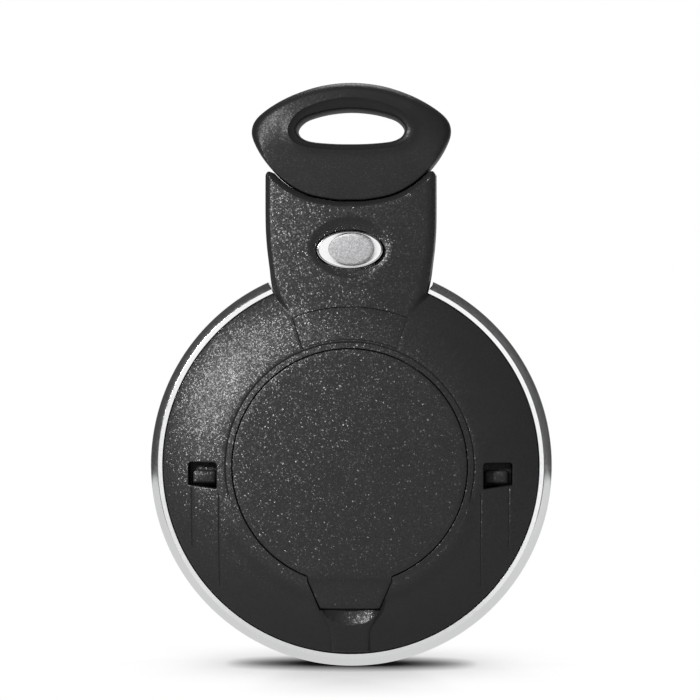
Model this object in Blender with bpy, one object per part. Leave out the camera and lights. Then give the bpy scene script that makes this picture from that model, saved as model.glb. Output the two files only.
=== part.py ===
"""A round car key shell with its pull-out emergency key, as separate closed solids.

Each piece is drawn on one of two drawing planes, the rear view or the front view. There x runs to
the right, y runs up from the rim's lowest point and z runs out of that face from the middle of the
key. Two empties stand the drawings upright: +Z of the world is up, -Y is out of the rear face.
Lengths are in metres.
"""
from math import asin, ceil, cos, pi, radians, sin, sqrt, tan, tau

import bmesh
import bpy
from mathutils import Matrix, Vector

MM = 0.001

# Clearances, and what cutters run past
SEAM_GAP = 0.2 * MM
SEAT_GAP = 0.3 * MM
SOLDER_GAP = 0.1 * MM
OVERRUN = 1.0 * MM
MERGE_DISTANCE = 0.001 * MM

# Facets of round shapes
DISC_STEPS = 64
PLATE_STEPS = 40
SMALL_STEPS = 32
NUB_STEPS = 12
OVAL_STEPS = 28
EDGE_STEPS = 3
BUTTON_EDGE_STEPS = 2
CORNER_STEPS = 3
SECTOR_STEPS = 6
NECK_SIDE_STEPS = 3
PANEL_STEPS = 12
HEAD_STEPS = 2
SMOOTH_ANGLE = radians(35)
MITRE_LIMIT_SHARE = 0.5

# Bright ring round the rim
RIM_RADIUS = 25.0 * MM
RING_WIDTH = 1.55 * MM
RING_FLANGE_WIDTH = 0.75 * MM
RING_FLANGE_HALF = 2.9 * MM
RING_LAND_WIDTH = 0.75 * MM
RING_LAND_DEPTH = 3.7 * MM
RING_BAND_HALF = 2.2 * MM
RING_BORE_RADIUS = RIM_RADIUS - RING_WIDTH
RING_FLANGE_RADIUS = RING_BORE_RADIUS - RING_FLANGE_WIDTH
DISC_HEIGHT = RIM_RADIUS

# Radii of both halves of the casing
PARTING_HALF_GAP = 0.15 * MM
CASE_WALL = 1.2 * MM
LIP_PROUD = 0.1 * MM
DOME_RISE = 0.4 * MM
LIP_RADIUS = RING_BORE_RADIUS - SEAM_GAP
LIP_LOW_DEPTH = RING_FLANGE_HALF + SEAT_GAP
LIP_EDGE_DEPTH = RING_LAND_DEPTH + LIP_PROUD
CASE_RADIUS = RING_FLANGE_RADIUS - SEAT_GAP
CAVITY_RADIUS = CASE_RADIUS - CASE_WALL

# Carrier between the halves, and the cell on it
CARRIER_RADIUS = CAVITY_RADIUS - SEAT_GAP
CARRIER_HALF_THICKNESS = 1.8 * MM
CONTACT_THICKNESS = 0.25 * MM
CONTACT_HALF_WIDTH = 1.75 * MM
CELL_RADIUS = 10.0 * MM
CELL_THICKNESS = 3.2 * MM
CELL_STEP = 0.5 * MM
CELL_WALL_GAP = 0.4 * MM
CELL_WALL = 1.0 * MM
CELL_WALL_DROP = 0.9 * MM
CELL_WALL_RADIUS = CELL_RADIUS + CELL_WALL_GAP
CONTACT_DEPTH = CARRIER_HALF_THICKNESS + SOLDER_GAP
CELL_DEPTH = CONTACT_DEPTH + CONTACT_THICKNESS + SEAT_GAP / 2 + CELL_THICKNESS
CELL_WALL_DEPTH = CELL_DEPTH - CELL_WALL_DROP

# Battery cover
BATTERY_COVER_THICKNESS = 1.25 * MM
BATTERY_COVER_EDGE = 0.15 * MM
BATTERY_COVER_PROUD = 0.15 * MM
CELL_COVER_GAP = 0.25 * MM
SEAL_THICKNESS = 0.3 * MM
SEAL_WIDTH = 0.7 * MM
LOCATING_RIB_WIDTH = 0.6 * MM
LOCATING_RIB_DEPTH = 1.1 * MM
LEDGE_CLEARANCE = 1.8 * MM
LEDGE_WIDTH = 1.45 * MM
LEDGE_WALL = 1.0 * MM
BATTERY_COVER_FLOOR = CELL_DEPTH + CELL_COVER_GAP
BATTERY_COVER_DEPTH = BATTERY_COVER_FLOOR + BATTERY_COVER_THICKNESS
LEDGE_DEPTH = BATTERY_COVER_FLOOR - SEAL_THICKNESS - SEAT_GAP
LEDGE_RADIUS = CELL_WALL_RADIUS + CELL_WALL + LEDGE_CLEARANCE
BATTERY_OPENING_RADIUS = LEDGE_RADIUS + LEDGE_WIDTH
BATTERY_COVER_RADIUS = BATTERY_OPENING_RADIUS - SEAM_GAP

# Pry tab at the foot of the battery cover
TAB_HALF_WIDTH = 5.16 * MM
TAB_END_HALF_WIDTH = 3.65 * MM
TAB_SHOULDER_RISE = 0.55 * MM
TAB_LENGTH = 3.4 * MM
TAB_FALL = 0.4 * MM
TAB_END_THICKNESS = 0.9 * MM
TAB_ROOT_LENGTH = 2.1 * MM
TAB_SHOULDER_HEIGHT = DISC_HEIGHT - BATTERY_OPENING_RADIUS + TAB_SHOULDER_RISE
TAB_END_HEIGHT = TAB_SHOULDER_HEIGHT - TAB_LENGTH
TAB_END_DEPTH = BATTERY_COVER_DEPTH - TAB_FALL

# Rear half: battery plateau and the shoulder round it
STEP_WIDTH = 0.2 * MM
STEP_FALL = 0.25 * MM
PLATEAU_BORDER = 0.6 * MM
PLATEAU_DEPTH = BATTERY_COVER_DEPTH - BATTERY_COVER_PROUD
STEP_RADIUS = BATTERY_OPENING_RADIUS + PLATEAU_BORDER
CEILING_DEPTH = LEDGE_DEPTH - LEDGE_WALL
SHOULDER_WIDTH = LIP_RADIUS - STEP_RADIUS
CLAMP_RIB_INSET = 1.8 * MM
CLAMP_RIB_WIDTH = 1.0 * MM
CLAMP_RIB_RADIUS = CAVITY_RADIUS - CLAMP_RIB_INSET

# Rear half: sunk panel between the neck and the plateau
PANEL_RADIUS_SHARE = 0.586
PANEL_TOP_HALF_WIDTH = 7.15 * MM
PANEL_FOOT_HALF_WIDTH = 6.05 * MM
PANEL_FOOT_GAP = 0.4 * MM
PANEL_SINK = 0.2 * MM
PANEL_RADIUS = STEP_RADIUS + SHOULDER_WIDTH * PANEL_RADIUS_SHARE

# Rear half: latch windows and the hooks in them
WINDOW_INNER_SHARE = 0.144
WINDOW_OUTER_SHARE = 0.594
WINDOW_TALL = 3.0 * MM
WINDOW_TOP_RISE = 0.2 * MM
WINDOW_SLANT = 0.45 * MM
WINDOW_INNER_X = STEP_RADIUS + SHOULDER_WIDTH * WINDOW_INNER_SHARE
WINDOW_OUTER_X = STEP_RADIUS + SHOULDER_WIDTH * WINDOW_OUTER_SHARE
WINDOW_TOP_HEIGHT = DISC_HEIGHT + WINDOW_TOP_RISE
WINDOW_LOW_HEIGHT = WINDOW_TOP_HEIGHT - WINDOW_TALL
NOTCH_INNER_X = WINDOW_INNER_X - SEAT_GAP
HOOK_PROUD = 1.1 * MM
HOOK_ROOT_LENGTH = 0.6 * MM
HOOK_NOSE_LENGTH = 1.0 * MM
HOOK_NOSE_STEP = 0.35 * MM
HOOK_REACH_DEPTH = LIP_EDGE_DEPTH + HOOK_PROUD

# Carrier's two windows, with the antenna coil and the transponder in them, and the contacts
CARRIER_WEB = 0.6 * MM
CARRIER_WINDOW_HEIGHT_SHARE = 0.715
COIL_HALF_WIDTH = 3.6 * MM
COIL_THICKNESS = 2.6 * MM
COIL_CORNER = 1.0 * MM
COIL_INNER_GAP = 1.1 * MM
COIL_OUTER_GAP = 0.7 * MM
COIL_HALF_HEIGHT_SHARE = 0.419
COIL_RISE_SHARE = 0.499
CARRIER_WINDOW_OUTER_X = NOTCH_INNER_X - CARRIER_WEB
CARRIER_WINDOW_REACH = sqrt(CARRIER_RADIUS ** 2 - CARRIER_WINDOW_OUTER_X ** 2)
CARRIER_WINDOW_HALF_HEIGHT = CARRIER_WINDOW_REACH * CARRIER_WINDOW_HEIGHT_SHARE
COIL_HALF_HEIGHT = CARRIER_WINDOW_HALF_HEIGHT * COIL_HALF_HEIGHT_SHARE
COIL_X = CARRIER_WINDOW_OUTER_X - COIL_OUTER_GAP - COIL_HALF_WIDTH
COIL_HEIGHT = DISC_HEIGHT + CARRIER_WINDOW_HALF_HEIGHT * COIL_RISE_SHARE
CARRIER_WINDOW_INNER_X = COIL_X - COIL_HALF_WIDTH - COIL_INNER_GAP
CHIP_HALF_WIDTH = 1.4 * MM
CHIP_THICKNESS = 2.2 * MM
CHIP_CORNER = 0.5 * MM
CHIP_CELL_GAP = 1.55 * MM
CHIP_HALF_HEIGHT_SHARE = 0.399
CHIP_DROP_SHARE = 0.399
CHIP_X = CELL_RADIUS + CHIP_CELL_GAP + CHIP_HALF_WIDTH
CHIP_HALF_HEIGHT = CARRIER_WINDOW_HALF_HEIGHT * CHIP_HALF_HEIGHT_SHARE
CHIP_HEIGHT = DISC_HEIGHT - CARRIER_WINDOW_HALF_HEIGHT * CHIP_DROP_SHARE
FACE_CONTACT_INSET = 1.0 * MM
FACE_CONTACT_END_X = 2.5 * MM
FACE_CONTACT_GAP = 1.45 * MM
FACE_CONTACT_START_X = CELL_RADIUS - FACE_CONTACT_INSET
FACE_CONTACT_HEIGHT = COIL_HEIGHT - COIL_HALF_HEIGHT - FACE_CONTACT_GAP - CONTACT_HALF_WIDTH
SIDE_CONTACT_FOOT = 2.0 * MM
SIDE_CONTACT_RISE_SHARE = 0.399
SIDE_CONTACT_HEIGHT = DISC_HEIGHT + CARRIER_WINDOW_HALF_HEIGHT * SIDE_CONTACT_RISE_SHARE

# Rear half: channel and scoop under the battery cover's tab
CHANNEL_WIDTH = 4.5 * MM
CHANNEL_BASE_SINK = 0.4 * MM
CHANNEL_FOOT_RISE = 0.5 * MM
CHANNEL_TOP_HEIGHT = TAB_SHOULDER_HEIGHT + TAB_ROOT_LENGTH
CHANNEL_FOOT_HEIGHT = DISC_HEIGHT - LIP_RADIUS + SEAM_GAP
CHANNEL_BASE_DEPTH = LIP_EDGE_DEPTH - CHANNEL_BASE_SINK
CHANNEL_FOOT_DEPTH = LIP_EDGE_DEPTH + CHANNEL_FOOT_RISE
SCOOP_HALF_WIDTH = 3.35 * MM
SCOOP_DROP = 2.7 * MM
SCOOP_SINK = 1.3 * MM

# Board, switches and the mat over them, outwards from the carrier to the front
BOARD_EDGE_GAP = 2.2 * MM
BOARD_THICKNESS = 0.8 * MM
SWITCH_HALF_WIDTH = 1.6 * MM
SWITCH_THICKNESS = 0.5 * MM
PLUNGER_RADIUS = 0.7 * MM
PLUNGER_HEIGHT = 0.2 * MM
PAD_EDGE_GAP = 0.7 * MM
PAD_THICKNESS = 0.3 * MM
NUB_RADIUS = 1.8 * MM
NUB_HEIGHT = 0.1 * MM
BOARD_RIB_INSET = 1.1 * MM
BOARD_RIB_WIDTH = 0.8 * MM
BOARD_RADIUS = CAVITY_RADIUS - BOARD_EDGE_GAP
BOARD_DEPTH = CARRIER_HALF_THICKNESS + SOLDER_GAP
BOARD_TOP_DEPTH = BOARD_DEPTH + BOARD_THICKNESS
BOARD_RIB_RADIUS = BOARD_RADIUS - BOARD_RIB_INSET
CAVITY_CORNER_DEPTH = BOARD_TOP_DEPTH + SEAT_GAP
SWITCH_TOP_DEPTH = BOARD_TOP_DEPTH + SOLDER_GAP + SWITCH_THICKNESS
PAD_RADIUS = BOARD_RIB_RADIUS - PAD_EDGE_GAP
PAD_DEPTH = SWITCH_TOP_DEPTH + PLUNGER_HEIGHT + SOLDER_GAP
PAD_TOP_DEPTH = PAD_DEPTH + PAD_THICKNESS

# Front half, its badge and the three buttons, each a ring sector round the badge
FRONT_WALL = 1.1 * MM
FRONT_SHOULDER_WIDTH = 0.8 * MM
BUTTON_TRAVEL = 0.5 * MM
BUTTON_FLANGE_WIDTH = 0.5 * MM
BUTTON_FLANGE_THICKNESS = 0.4 * MM
BUTTON_BORDER = 1.2 * MM
BUTTON_BADGE_GAP = 2.0 * MM
BUTTON_HALF_ANGLE = radians(47)
BUTTON_CORNER = 1.2 * MM
BUTTON_PROUD = 0.45 * MM
BUTTON_EDGE = 0.25 * MM
BUTTON_ANGLES = {"unlock": radians(150), "lock": radians(30), "boot": radians(270)}
BADGE_RADIUS_SHARE = 0.463
BADGE_THICKNESS = 1.1 * MM
BADGE_PROUD = 0.6 * MM
BADGE_EDGE = 0.3 * MM
BADGE_BOSS_WALL = 1.2 * MM
BUTTON_FOOT_DEPTH = PAD_TOP_DEPTH + NUB_HEIGHT + SOLDER_GAP + BUTTON_TRAVEL
BUTTON_FLANGE_DEPTH = BUTTON_FOOT_DEPTH + BUTTON_FLANGE_THICKNESS
FRONT_CEILING_DEPTH = BUTTON_FLANGE_DEPTH + SEAT_GAP
FRONT_FACE_DEPTH = FRONT_CEILING_DEPTH + FRONT_WALL
BUTTON_DEPTH = FRONT_FACE_DEPTH + BUTTON_PROUD
FRONT_FLAT_RADIUS = PAD_RADIUS - FRONT_SHOULDER_WIDTH
BADGE_RADIUS = FRONT_FLAT_RADIUS * BADGE_RADIUS_SHARE
BADGE_DEPTH = FRONT_FACE_DEPTH + BADGE_PROUD
BUTTON_INNER_RADIUS = BADGE_RADIUS + BUTTON_BADGE_GAP
BUTTON_OUTER_RADIUS = FRONT_FLAT_RADIUS - BUTTON_BORDER
BUTTON_MIDDLE_RADIUS = (BUTTON_INNER_RADIUS + BUTTON_OUTER_RADIUS) / 2

# Neck, drawn as half widths at heights above the rim's lowest point
NECK_RISE = 11.3 * MM
NECK_FOOT_SHARE = 0.774
NECK_TIP_WIDTH = 0.97 * MM
NECK_SIDE_WIDTH_SHARES = (0.71, 0.814, 0.917, 0.966, 0.99, 1.0, 1.0)
NECK_SIDE_HEIGHT_SHARES = (0.0, 0.088, 0.231, 0.412, 0.544, 0.687, 0.965)
NECK_TIP_OUTER_SHARE = 0.94
NECK_FACE_DEPTH = 5.5 * MM
NECK_ROOF = 1.6 * MM
NECK_EDGE_INSET = 0.33 * MM
NECK_EDGE_DROP = 0.9 * MM
NECK_DRAFT = 0.3 * MM
NECK_FOOT_HEIGHT = DISC_HEIGHT + LIP_RADIUS * NECK_FOOT_SHARE
NECK_TIP_HEIGHT = DISC_HEIGHT + RIM_RADIUS + NECK_RISE

# Emergency key's head and its loop
HEAD_HALF_WIDTH = 12.45 * MM
HEAD_LIFT = 5.5 * MM
HEAD_RISE = 6.0 * MM
HEAD_DROP = 8.95 * MM
HEAD_TOP_SHARES = ((1.0, 0.0), (0.953, 0.242), (0.8, 0.492), (0.572, 0.733), (0.297, 0.912), (0.0, 1.0))
HEAD_FOOT_SHARES = ((0.177, 0.991), (0.442, 0.91), (0.676, 0.717), (0.863, 0.435), (0.972, 0.175))
HEAD_HALF_THICKNESS = 3.2 * MM
HEAD_EDGE_INSET = 1.3 * MM
HEAD_EDGE_DROP = 1.9 * MM
HEAD_WIDE_HEIGHT = NECK_TIP_HEIGHT + HEAD_LIFT
LOOP_HALF_WIDTH = 6.85 * MM
LOOP_LIFT = 0.1 * MM
LOOP_RISE = 2.5 * MM
LOOP_DROP = 2.05 * MM
LOOP_TOP_SHARES = ((1.0, 0.0), (0.92, 0.34), (0.76, 0.62), (0.41, 0.89), (0.0, 1.0))
LOOP_FOOT_SHARES = ((0.36, 0.97), (0.73, 0.845), (0.905, 0.63), (0.985, 0.34))
LOOP_FLARE = 0.05 * MM
LOOP_RIM_FLARE = 0.9 * MM
LOOP_RIM_DEPTH = 0.45 * MM
LOOP_WIDE_HEIGHT = HEAD_WIDE_HEIGHT + LOOP_LIFT

# Saddle between the neck's tips, which follows the head that lies in it
SADDLE_WIDTH_SHARE = 0.78
SADDLE_HALF_WIDTH = HEAD_HALF_WIDTH * SADDLE_WIDTH_SHARE
NECK_HALF_WIDTH = SADDLE_HALF_WIDTH + NECK_TIP_WIDTH

# Blade, with the groove that the latch's tooth runs in
BLADE_HALF_WIDTH = 4.2 * MM
BLADE_HALF_THICKNESS = 1.0 * MM
BLADE_LENGTH = 43.4 * MM
BLADE_HEAD_GAP = 3.8 * MM
BLADE_TIP_LENGTH = 2.2 * MM
BLADE_TIP_HALF_WIDTH = 1.8 * MM
GROOVE_HALF_WIDTH = 0.8 * MM
GROOVE_SINK = 0.5 * MM
GROOVE_STOP_GAP = 0.5 * MM
KEYWAY_HALF_WIDTH = 1.4 * MM
KEYWAY_SINK = 0.35 * MM
KEYWAY_LENGTH = 24.0 * MM
BLADE_TOP_HEIGHT = HEAD_WIDE_HEIGHT - BLADE_HEAD_GAP
BLADE_TIP_HEIGHT = BLADE_TOP_HEIGHT - BLADE_LENGTH
TUNNEL_HALF_WIDTH = BLADE_HALF_WIDTH + SEAT_GAP
TUNNEL_HALF_DEPTH = BLADE_HALF_THICKNESS + SEAT_GAP

# Release button, its rim and inlay, and the dish that they stand in
RELEASE_DROP = 9.65 * MM
RELEASE_HALF_WIDTH = 4.07 * MM
RELEASE_HALF_HEIGHT = 2.32 * MM
RELEASE_PROUD = 0.35 * MM
RELEASE_TRAVEL = 1.1 * MM
RELEASE_RIM_THICKNESS = 0.8 * MM
RELEASE_RIM_EDGE = 0.3 * MM
RELEASE_RIM_SIDE_WIDTH = 1.1 * MM
RELEASE_RIM_TOP_WIDTH = 0.39 * MM
RELEASE_FLANGE_THICKNESS = 0.7 * MM
INLAY_THICKNESS = 0.3 * MM
INLAY_SINK = 0.25 * MM
INLAY_HALF_WIDTH = RELEASE_HALF_WIDTH - RELEASE_RIM_SIDE_WIDTH
INLAY_HALF_HEIGHT = RELEASE_HALF_HEIGHT - RELEASE_RIM_TOP_WIDTH
RELEASE_HEIGHT = NECK_TIP_HEIGHT - RELEASE_DROP
RELEASE_DEPTH = NECK_FACE_DEPTH + RELEASE_PROUD
POCKET_REAR_DEPTH = NECK_FACE_DEPTH - NECK_ROOF
RELEASE_FLANGE_DEPTH = POCKET_REAR_DEPTH - SEAT_GAP
DISH_SIDE_WIDTH = 1.23 * MM
DISH_TOP_WIDTH = 1.43 * MM
DISH_RISE = 0.25 * MM
DISH_SINK = 0.55 * MM
DISH_CENTRE_LIFT = 1.2 * MM

# Latch under the release button: legs round the blade, bar, tooth and spring
LEG_THICKNESS = 0.8 * MM
LEG_HALF_HEIGHT = 1.6 * MM
LATCH_BAR_THICKNESS = 1.1 * MM
LATCH_BAR_HALF_HEIGHT = 1.7 * MM
TOOTH_HALF_WIDTH = 0.5 * MM
TOOTH_HALF_HEIGHT = 0.6 * MM
POCKET_GAP = 0.6 * MM
SPRING_WIRE_RADIUS = 0.15 * MM
SPRING_FOOT_RADIUS = 1.9 * MM
SPRING_TOP_RADIUS = 1.0 * MM
SPRING_TURNS = 2.5
SPRING_TURN_POINTS = 9
SPRING_PRESSED_WIRES = 3
SPRING_PRESSED_LENGTH = 2 * SPRING_WIRE_RADIUS * SPRING_PRESSED_WIRES
LEG_INNER_X = TUNNEL_HALF_WIDTH
LEG_OUTER_X = LEG_INNER_X + LEG_THICKNESS
LEG_FOOT_DEPTH = -TUNNEL_HALF_DEPTH
LATCH_REAR_DEPTH = SOLDER_GAP - LEG_FOOT_DEPTH
LATCH_FRONT_DEPTH = LATCH_REAR_DEPTH + LATCH_BAR_THICKNESS
POCKET_HALF_WIDTH = LEG_OUTER_X + POCKET_GAP
POCKET_HALF_HEIGHT = LATCH_BAR_HALF_HEIGHT + POCKET_GAP
POCKET_FRONT_DEPTH = LATCH_FRONT_DEPTH + RELEASE_TRAVEL + SPRING_PRESSED_LENGTH

# Colours
BLACK_PLASTIC = (0.028, 0.028, 0.03)
INNER_PLASTIC = (0.05, 0.05, 0.055)
BRIGHT_METAL = (0.85, 0.86, 0.88)
BRUSHED_METAL = (0.55, 0.55, 0.55)
STEEL = (0.5, 0.5, 0.52)
SPRING_METAL = (0.72, 0.62, 0.4)
RUBBER = (0.1, 0.1, 0.11)
BOARD_GREEN = (0.03, 0.16, 0.07)
COIL_BROWN = (0.2, 0.09, 0.04)

REAR_VIEW = "rear_view"
FRONT_VIEW = "front_view"


# Outlines

def arc(start, end, rise, steps):
    """Points from start to end on an arc that bulges by `rise` to the left of that way."""
    start = Vector(start)
    end = Vector(end)
    chord = end - start
    left = Vector((-chord.y, chord.x)).normalized()
    radius = (chord.length_squared / 4 + rise * rise) / (2 * rise)
    centre = (start + end) / 2 + left * (rise - radius)
    turn = -2 * asin(chord.length / 2 / radius)
    return [centre + Matrix.Rotation(turn * i / steps, 2) @ (start - centre) for i in range(steps + 1)]


def smooth(points, steps):
    """An open curve through the points, with `steps` stretches between two of them."""
    points = [Vector(point) for point in points]
    first = 2 * points[0] - points[1]
    last = 2 * points[-1] - points[-2]
    guides = [first, *points, last]
    curve = [points[0]]
    for before, start, end, after in zip(guides, guides[1:], guides[2:], guides[3:]):
        for i in range(1, steps + 1):
            t = i / steps
            pull = (end - before) * t + (2 * before - 5 * start + 4 * end - after) * t ** 2
            pull += (3 * start - before - 3 * end + after) * t ** 3
            curve.append(start + pull / 2)
    return curve


def mirrored(half):
    """The half outline followed by its mirror image in x, with points on the axis kept once."""
    other = [Vector((-point[0], point[1])) for point in reversed(half)]
    outline = [Vector(point) for point in half] + other
    kept = []
    for point in outline:
        if not kept or (point - kept[-1]).length > MERGE_DISTANCE:
            kept.append(point)
    if (kept[0] - kept[-1]).length < MERGE_DISTANCE:
        kept.pop()
    return kept


def rounded(corners, radius, steps):
    """The polygon with every corner rounded to the radius."""
    outline = []
    count = len(corners)
    for i in range(count):
        corner = Vector(corners[i])
        back = (Vector(corners[i - 1]) - corner).normalized()
        ahead = (Vector(corners[(i + 1) % count]) - corner).normalized()
        half_angle = back.angle(ahead) / 2
        reach = radius / tan(half_angle)
        start = corner + back * reach
        end = corner + ahead * reach
        rise = radius * (1 - sin(half_angle))
        side = 1 if ahead.cross(back) > 0 else -1
        outline += arc(start, end, -side * rise, steps)
    return outline


def divided(outline, longest):
    """The closed outline with its long stretches cut into even shorter ones."""
    points = []
    for start, end in zip(outline, outline[1:] + outline[:1]):
        count = ceil((end - start).length / longest)
        points += [start.lerp(end, i / count) for i in range(count)]
    return points


def rectangle(half_width, half_height, centre=(0, 0)):
    """The corners of a rectangle, counter-clockwise."""
    x, y = centre
    return [(x - half_width, y - half_height), (x + half_width, y - half_height),
            (x + half_width, y + half_height), (x - half_width, y + half_height)]


def oval(half_width, half_height, steps=OVAL_STEPS):
    """An ellipse round the origin, counter-clockwise."""
    return [(half_width * cos(tau * i / steps), half_height * sin(tau * i / steps)) for i in range(steps)]


def inset(outline, distance):
    """The counter-clockwise outline moved inwards by the distance, or outwards if it is negative."""
    moved = []
    count = len(outline)
    for i in range(count):
        here = Vector(outline[i])
        back = (here - Vector(outline[i - 1])).normalized()
        ahead = (Vector(outline[(i + 1) % count]) - here).normalized()
        normal = Vector((-back.y - ahead.y, back.x + ahead.x)).normalized()
        moved.append(here + normal * distance / max(normal.dot((-ahead.y, ahead.x)), MITRE_LIMIT_SHARE))
    return moved


def at_depth(outline, depth):
    """The outline's points at one depth."""
    return [(point[0], point[1], depth) for point in outline]


def rounded_edge(outline, face_depth, inset_width, drop, steps=EDGE_STEPS):
    """Sections of an edge that rolls inwards from the side wall to the face."""
    sections = []
    for i in range(steps + 1):
        angle = pi / 2 * i / steps
        rolled = inset(outline, inset_width * (1 - cos(angle)))
        sections.append(at_depth(rolled, face_depth - drop * (1 - sin(angle))))
    return sections


# Solids

def place(name, bm, view, spot=(0, 0, 0)):
    """An object of the mesh on the drawing plane, with its origin at the spot."""
    bmesh.ops.recalc_face_normals(bm, faces=bm.faces)
    mesh = bpy.data.meshes.new(name)
    bm.to_mesh(mesh)
    bm.free()
    mesh.shade_smooth()
    mesh.set_sharp_from_angle(angle=SMOOTH_ANGLE)
    solid = bpy.data.objects.new(name, mesh)
    bpy.context.scene.collection.objects.link(solid)
    solid.parent = bpy.data.objects[view]
    solid.location = spot
    return solid


def loft(name, sections, view, spot=(0, 0, 0)):
    """A solid skinned over sections that have the same number of points."""
    bm = bmesh.new()
    rings = [[bm.verts.new(point) for point in section] for section in sections]
    for low, high in zip(rings, rings[1:]):
        for i in range(len(low)):
            j = (i + 1) % len(low)
            bm.faces.new((low[i], low[j], high[j], high[i]))
    bm.faces.new(rings[0])
    bm.faces.new(rings[-1])
    return place(name, bm, view, spot)


def prism(name, outline, low, high, view, spot=(0, 0, 0)):
    """The outline extruded from one depth to another."""
    bm = bmesh.new()
    face = bm.faces.new([bm.verts.new(point) for point in at_depth(outline, low)])
    grown = bmesh.ops.extrude_face_region(bm, geom=[face])["geom"]
    tops = [item for item in grown if isinstance(item, bmesh.types.BMVert)]
    bmesh.ops.translate(bm, verts=tops, vec=(0, 0, high - low))
    return place(name, bm, view, spot)


def turned(name, profile, view, steps=DISC_STEPS, spot=(0, DISC_HEIGHT, 0), closed=True):
    """The profile of (radius, depth) points turned about the spot; an open one ends on the axis."""
    bm = bmesh.new()
    verts = [bm.verts.new((radius, 0, depth)) for radius, depth in profile]
    ways = list(zip(verts, verts[1:]))
    if closed:
        ways.append((verts[-1], verts[0]))
    edges = [bm.edges.new(way) for way in ways]
    bmesh.ops.spin(bm, geom=verts + edges, cent=(0, 0, 0), axis=(0, 0, 1), angle=tau, steps=steps,
                   use_merge=True)
    bmesh.ops.remove_doubles(bm, verts=bm.verts, dist=MERGE_DISTANCE)
    return place(name, bm, view, spot)


def ball(name, half_sizes, view, spot, steps=SMALL_STEPS):
    """An ellipsoid round the spot."""
    bm = bmesh.new()
    bmesh.ops.create_uvsphere(bm, u_segments=steps, v_segments=steps // 2, radius=1)
    bmesh.ops.scale(bm, verts=bm.verts, vec=half_sizes)
    return place(name, bm, view, spot)


def combine(target, tool, operation):
    """Adds or cuts the tool by a Boolean that stays on the target."""
    tool.hide_render = True
    tool.display_type = "WIRE"
    step = target.modifiers.new(tool.name, "BOOLEAN")
    step.operation = operation
    step.solver = "EXACT"
    step.object = tool
    return target


def join(target, tool):
    """Adds the tool's shape to the target."""
    return combine(target, tool, "UNION")


def cut(target, tool):
    """Takes the tool's shape out of the target."""
    return combine(target, tool, "DIFFERENCE")


def dress(solid, colour, roughness, metallic=0.0):
    """Gives the solid a material of its own."""
    material = bpy.data.materials.new(solid.name)
    material.use_nodes = True
    shader = material.node_tree.nodes["Principled BSDF"]
    shader.inputs["Base Color"].default_value = (*colour, 1)
    shader.inputs["Roughness"].default_value = roughness
    shader.inputs["Metallic"].default_value = metallic
    solid.data.materials.append(material)
    return solid


# Casing

def neck_outline():
    """The neck from its foot inside the disc up to the two tips, with the saddle between them."""
    height = NECK_TIP_HEIGHT - NECK_FOOT_HEIGHT
    sides = [(NECK_HALF_WIDTH * width, NECK_FOOT_HEIGHT + height * share)
             for width, share in zip(NECK_SIDE_WIDTH_SHARES, NECK_SIDE_HEIGHT_SHARES)]
    tip = (NECK_HALF_WIDTH * NECK_TIP_OUTER_SHARE, NECK_TIP_HEIGHT)
    round_head = inset(head_outline(), -SEAT_GAP)
    saddle = [point for point in round_head if 0 <= point.x < SADDLE_HALF_WIDTH and point.y < NECK_TIP_HEIGHT]
    half = smooth(sides, NECK_SIDE_STEPS) + [tip] + sorted(saddle, key=lambda point: -point.x)
    return mirrored(half)


def neck_blank(view):
    """One half of the neck, hollowed where the disc's cavity runs."""
    outline = neck_outline()
    sections = [at_depth(outline, PARTING_HALF_GAP)]
    sections += rounded_edge(inset(outline, NECK_DRAFT), NECK_FACE_DEPTH, NECK_EDGE_INSET, NECK_EDGE_DROP)
    neck = loft(f"neck_{view}", sections, view)
    hollow = [(0, -OVERRUN), (CAVITY_RADIUS, -OVERRUN), (CAVITY_RADIUS, CAVITY_CORNER_DEPTH),
              (0, CAVITY_CORNER_DEPTH)]
    return cut(neck, turned(f"neck_hollow_{view}", hollow, view, closed=False))


def skirt(ceiling_radius, ceiling_depth, rib_radius, rib_width, rib_depth):
    """The profile from the lip's edge down to the parting face and back up inside to the ceiling."""
    return [
        (LIP_RADIUS, LIP_LOW_DEPTH),
        (CASE_RADIUS, LIP_LOW_DEPTH),
        (CASE_RADIUS, PARTING_HALF_GAP),
        (CAVITY_RADIUS, PARTING_HALF_GAP),
        (CAVITY_RADIUS, CAVITY_CORNER_DEPTH),
        (rib_radius + rib_width, CAVITY_CORNER_DEPTH),
        (rib_radius + rib_width, rib_depth),
        (rib_radius, rib_depth),
        (rib_radius, CAVITY_CORNER_DEPTH),
        (ceiling_radius, ceiling_depth),
    ]


def blade_tunnel(name, view, foot_height):
    """A cutter for the space that the blade slides in."""
    outline = rectangle(TUNNEL_HALF_WIDTH, (NECK_TIP_HEIGHT + OVERRUN - foot_height) / 2,
                        (0, (NECK_TIP_HEIGHT + OVERRUN + foot_height) / 2))
    return prism(name, outline, -TUNNEL_HALF_DEPTH, TUNNEL_HALF_DEPTH, view)


def rear_dome(sink):
    """The profile of the rear dome between the plateau and the lip, sunk by an amount."""
    return arc((STEP_RADIUS, PLATEAU_DEPTH - STEP_FALL - sink), (LIP_RADIUS, LIP_EDGE_DEPTH - sink),
               DOME_RISE, EDGE_STEPS + 1)


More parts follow.
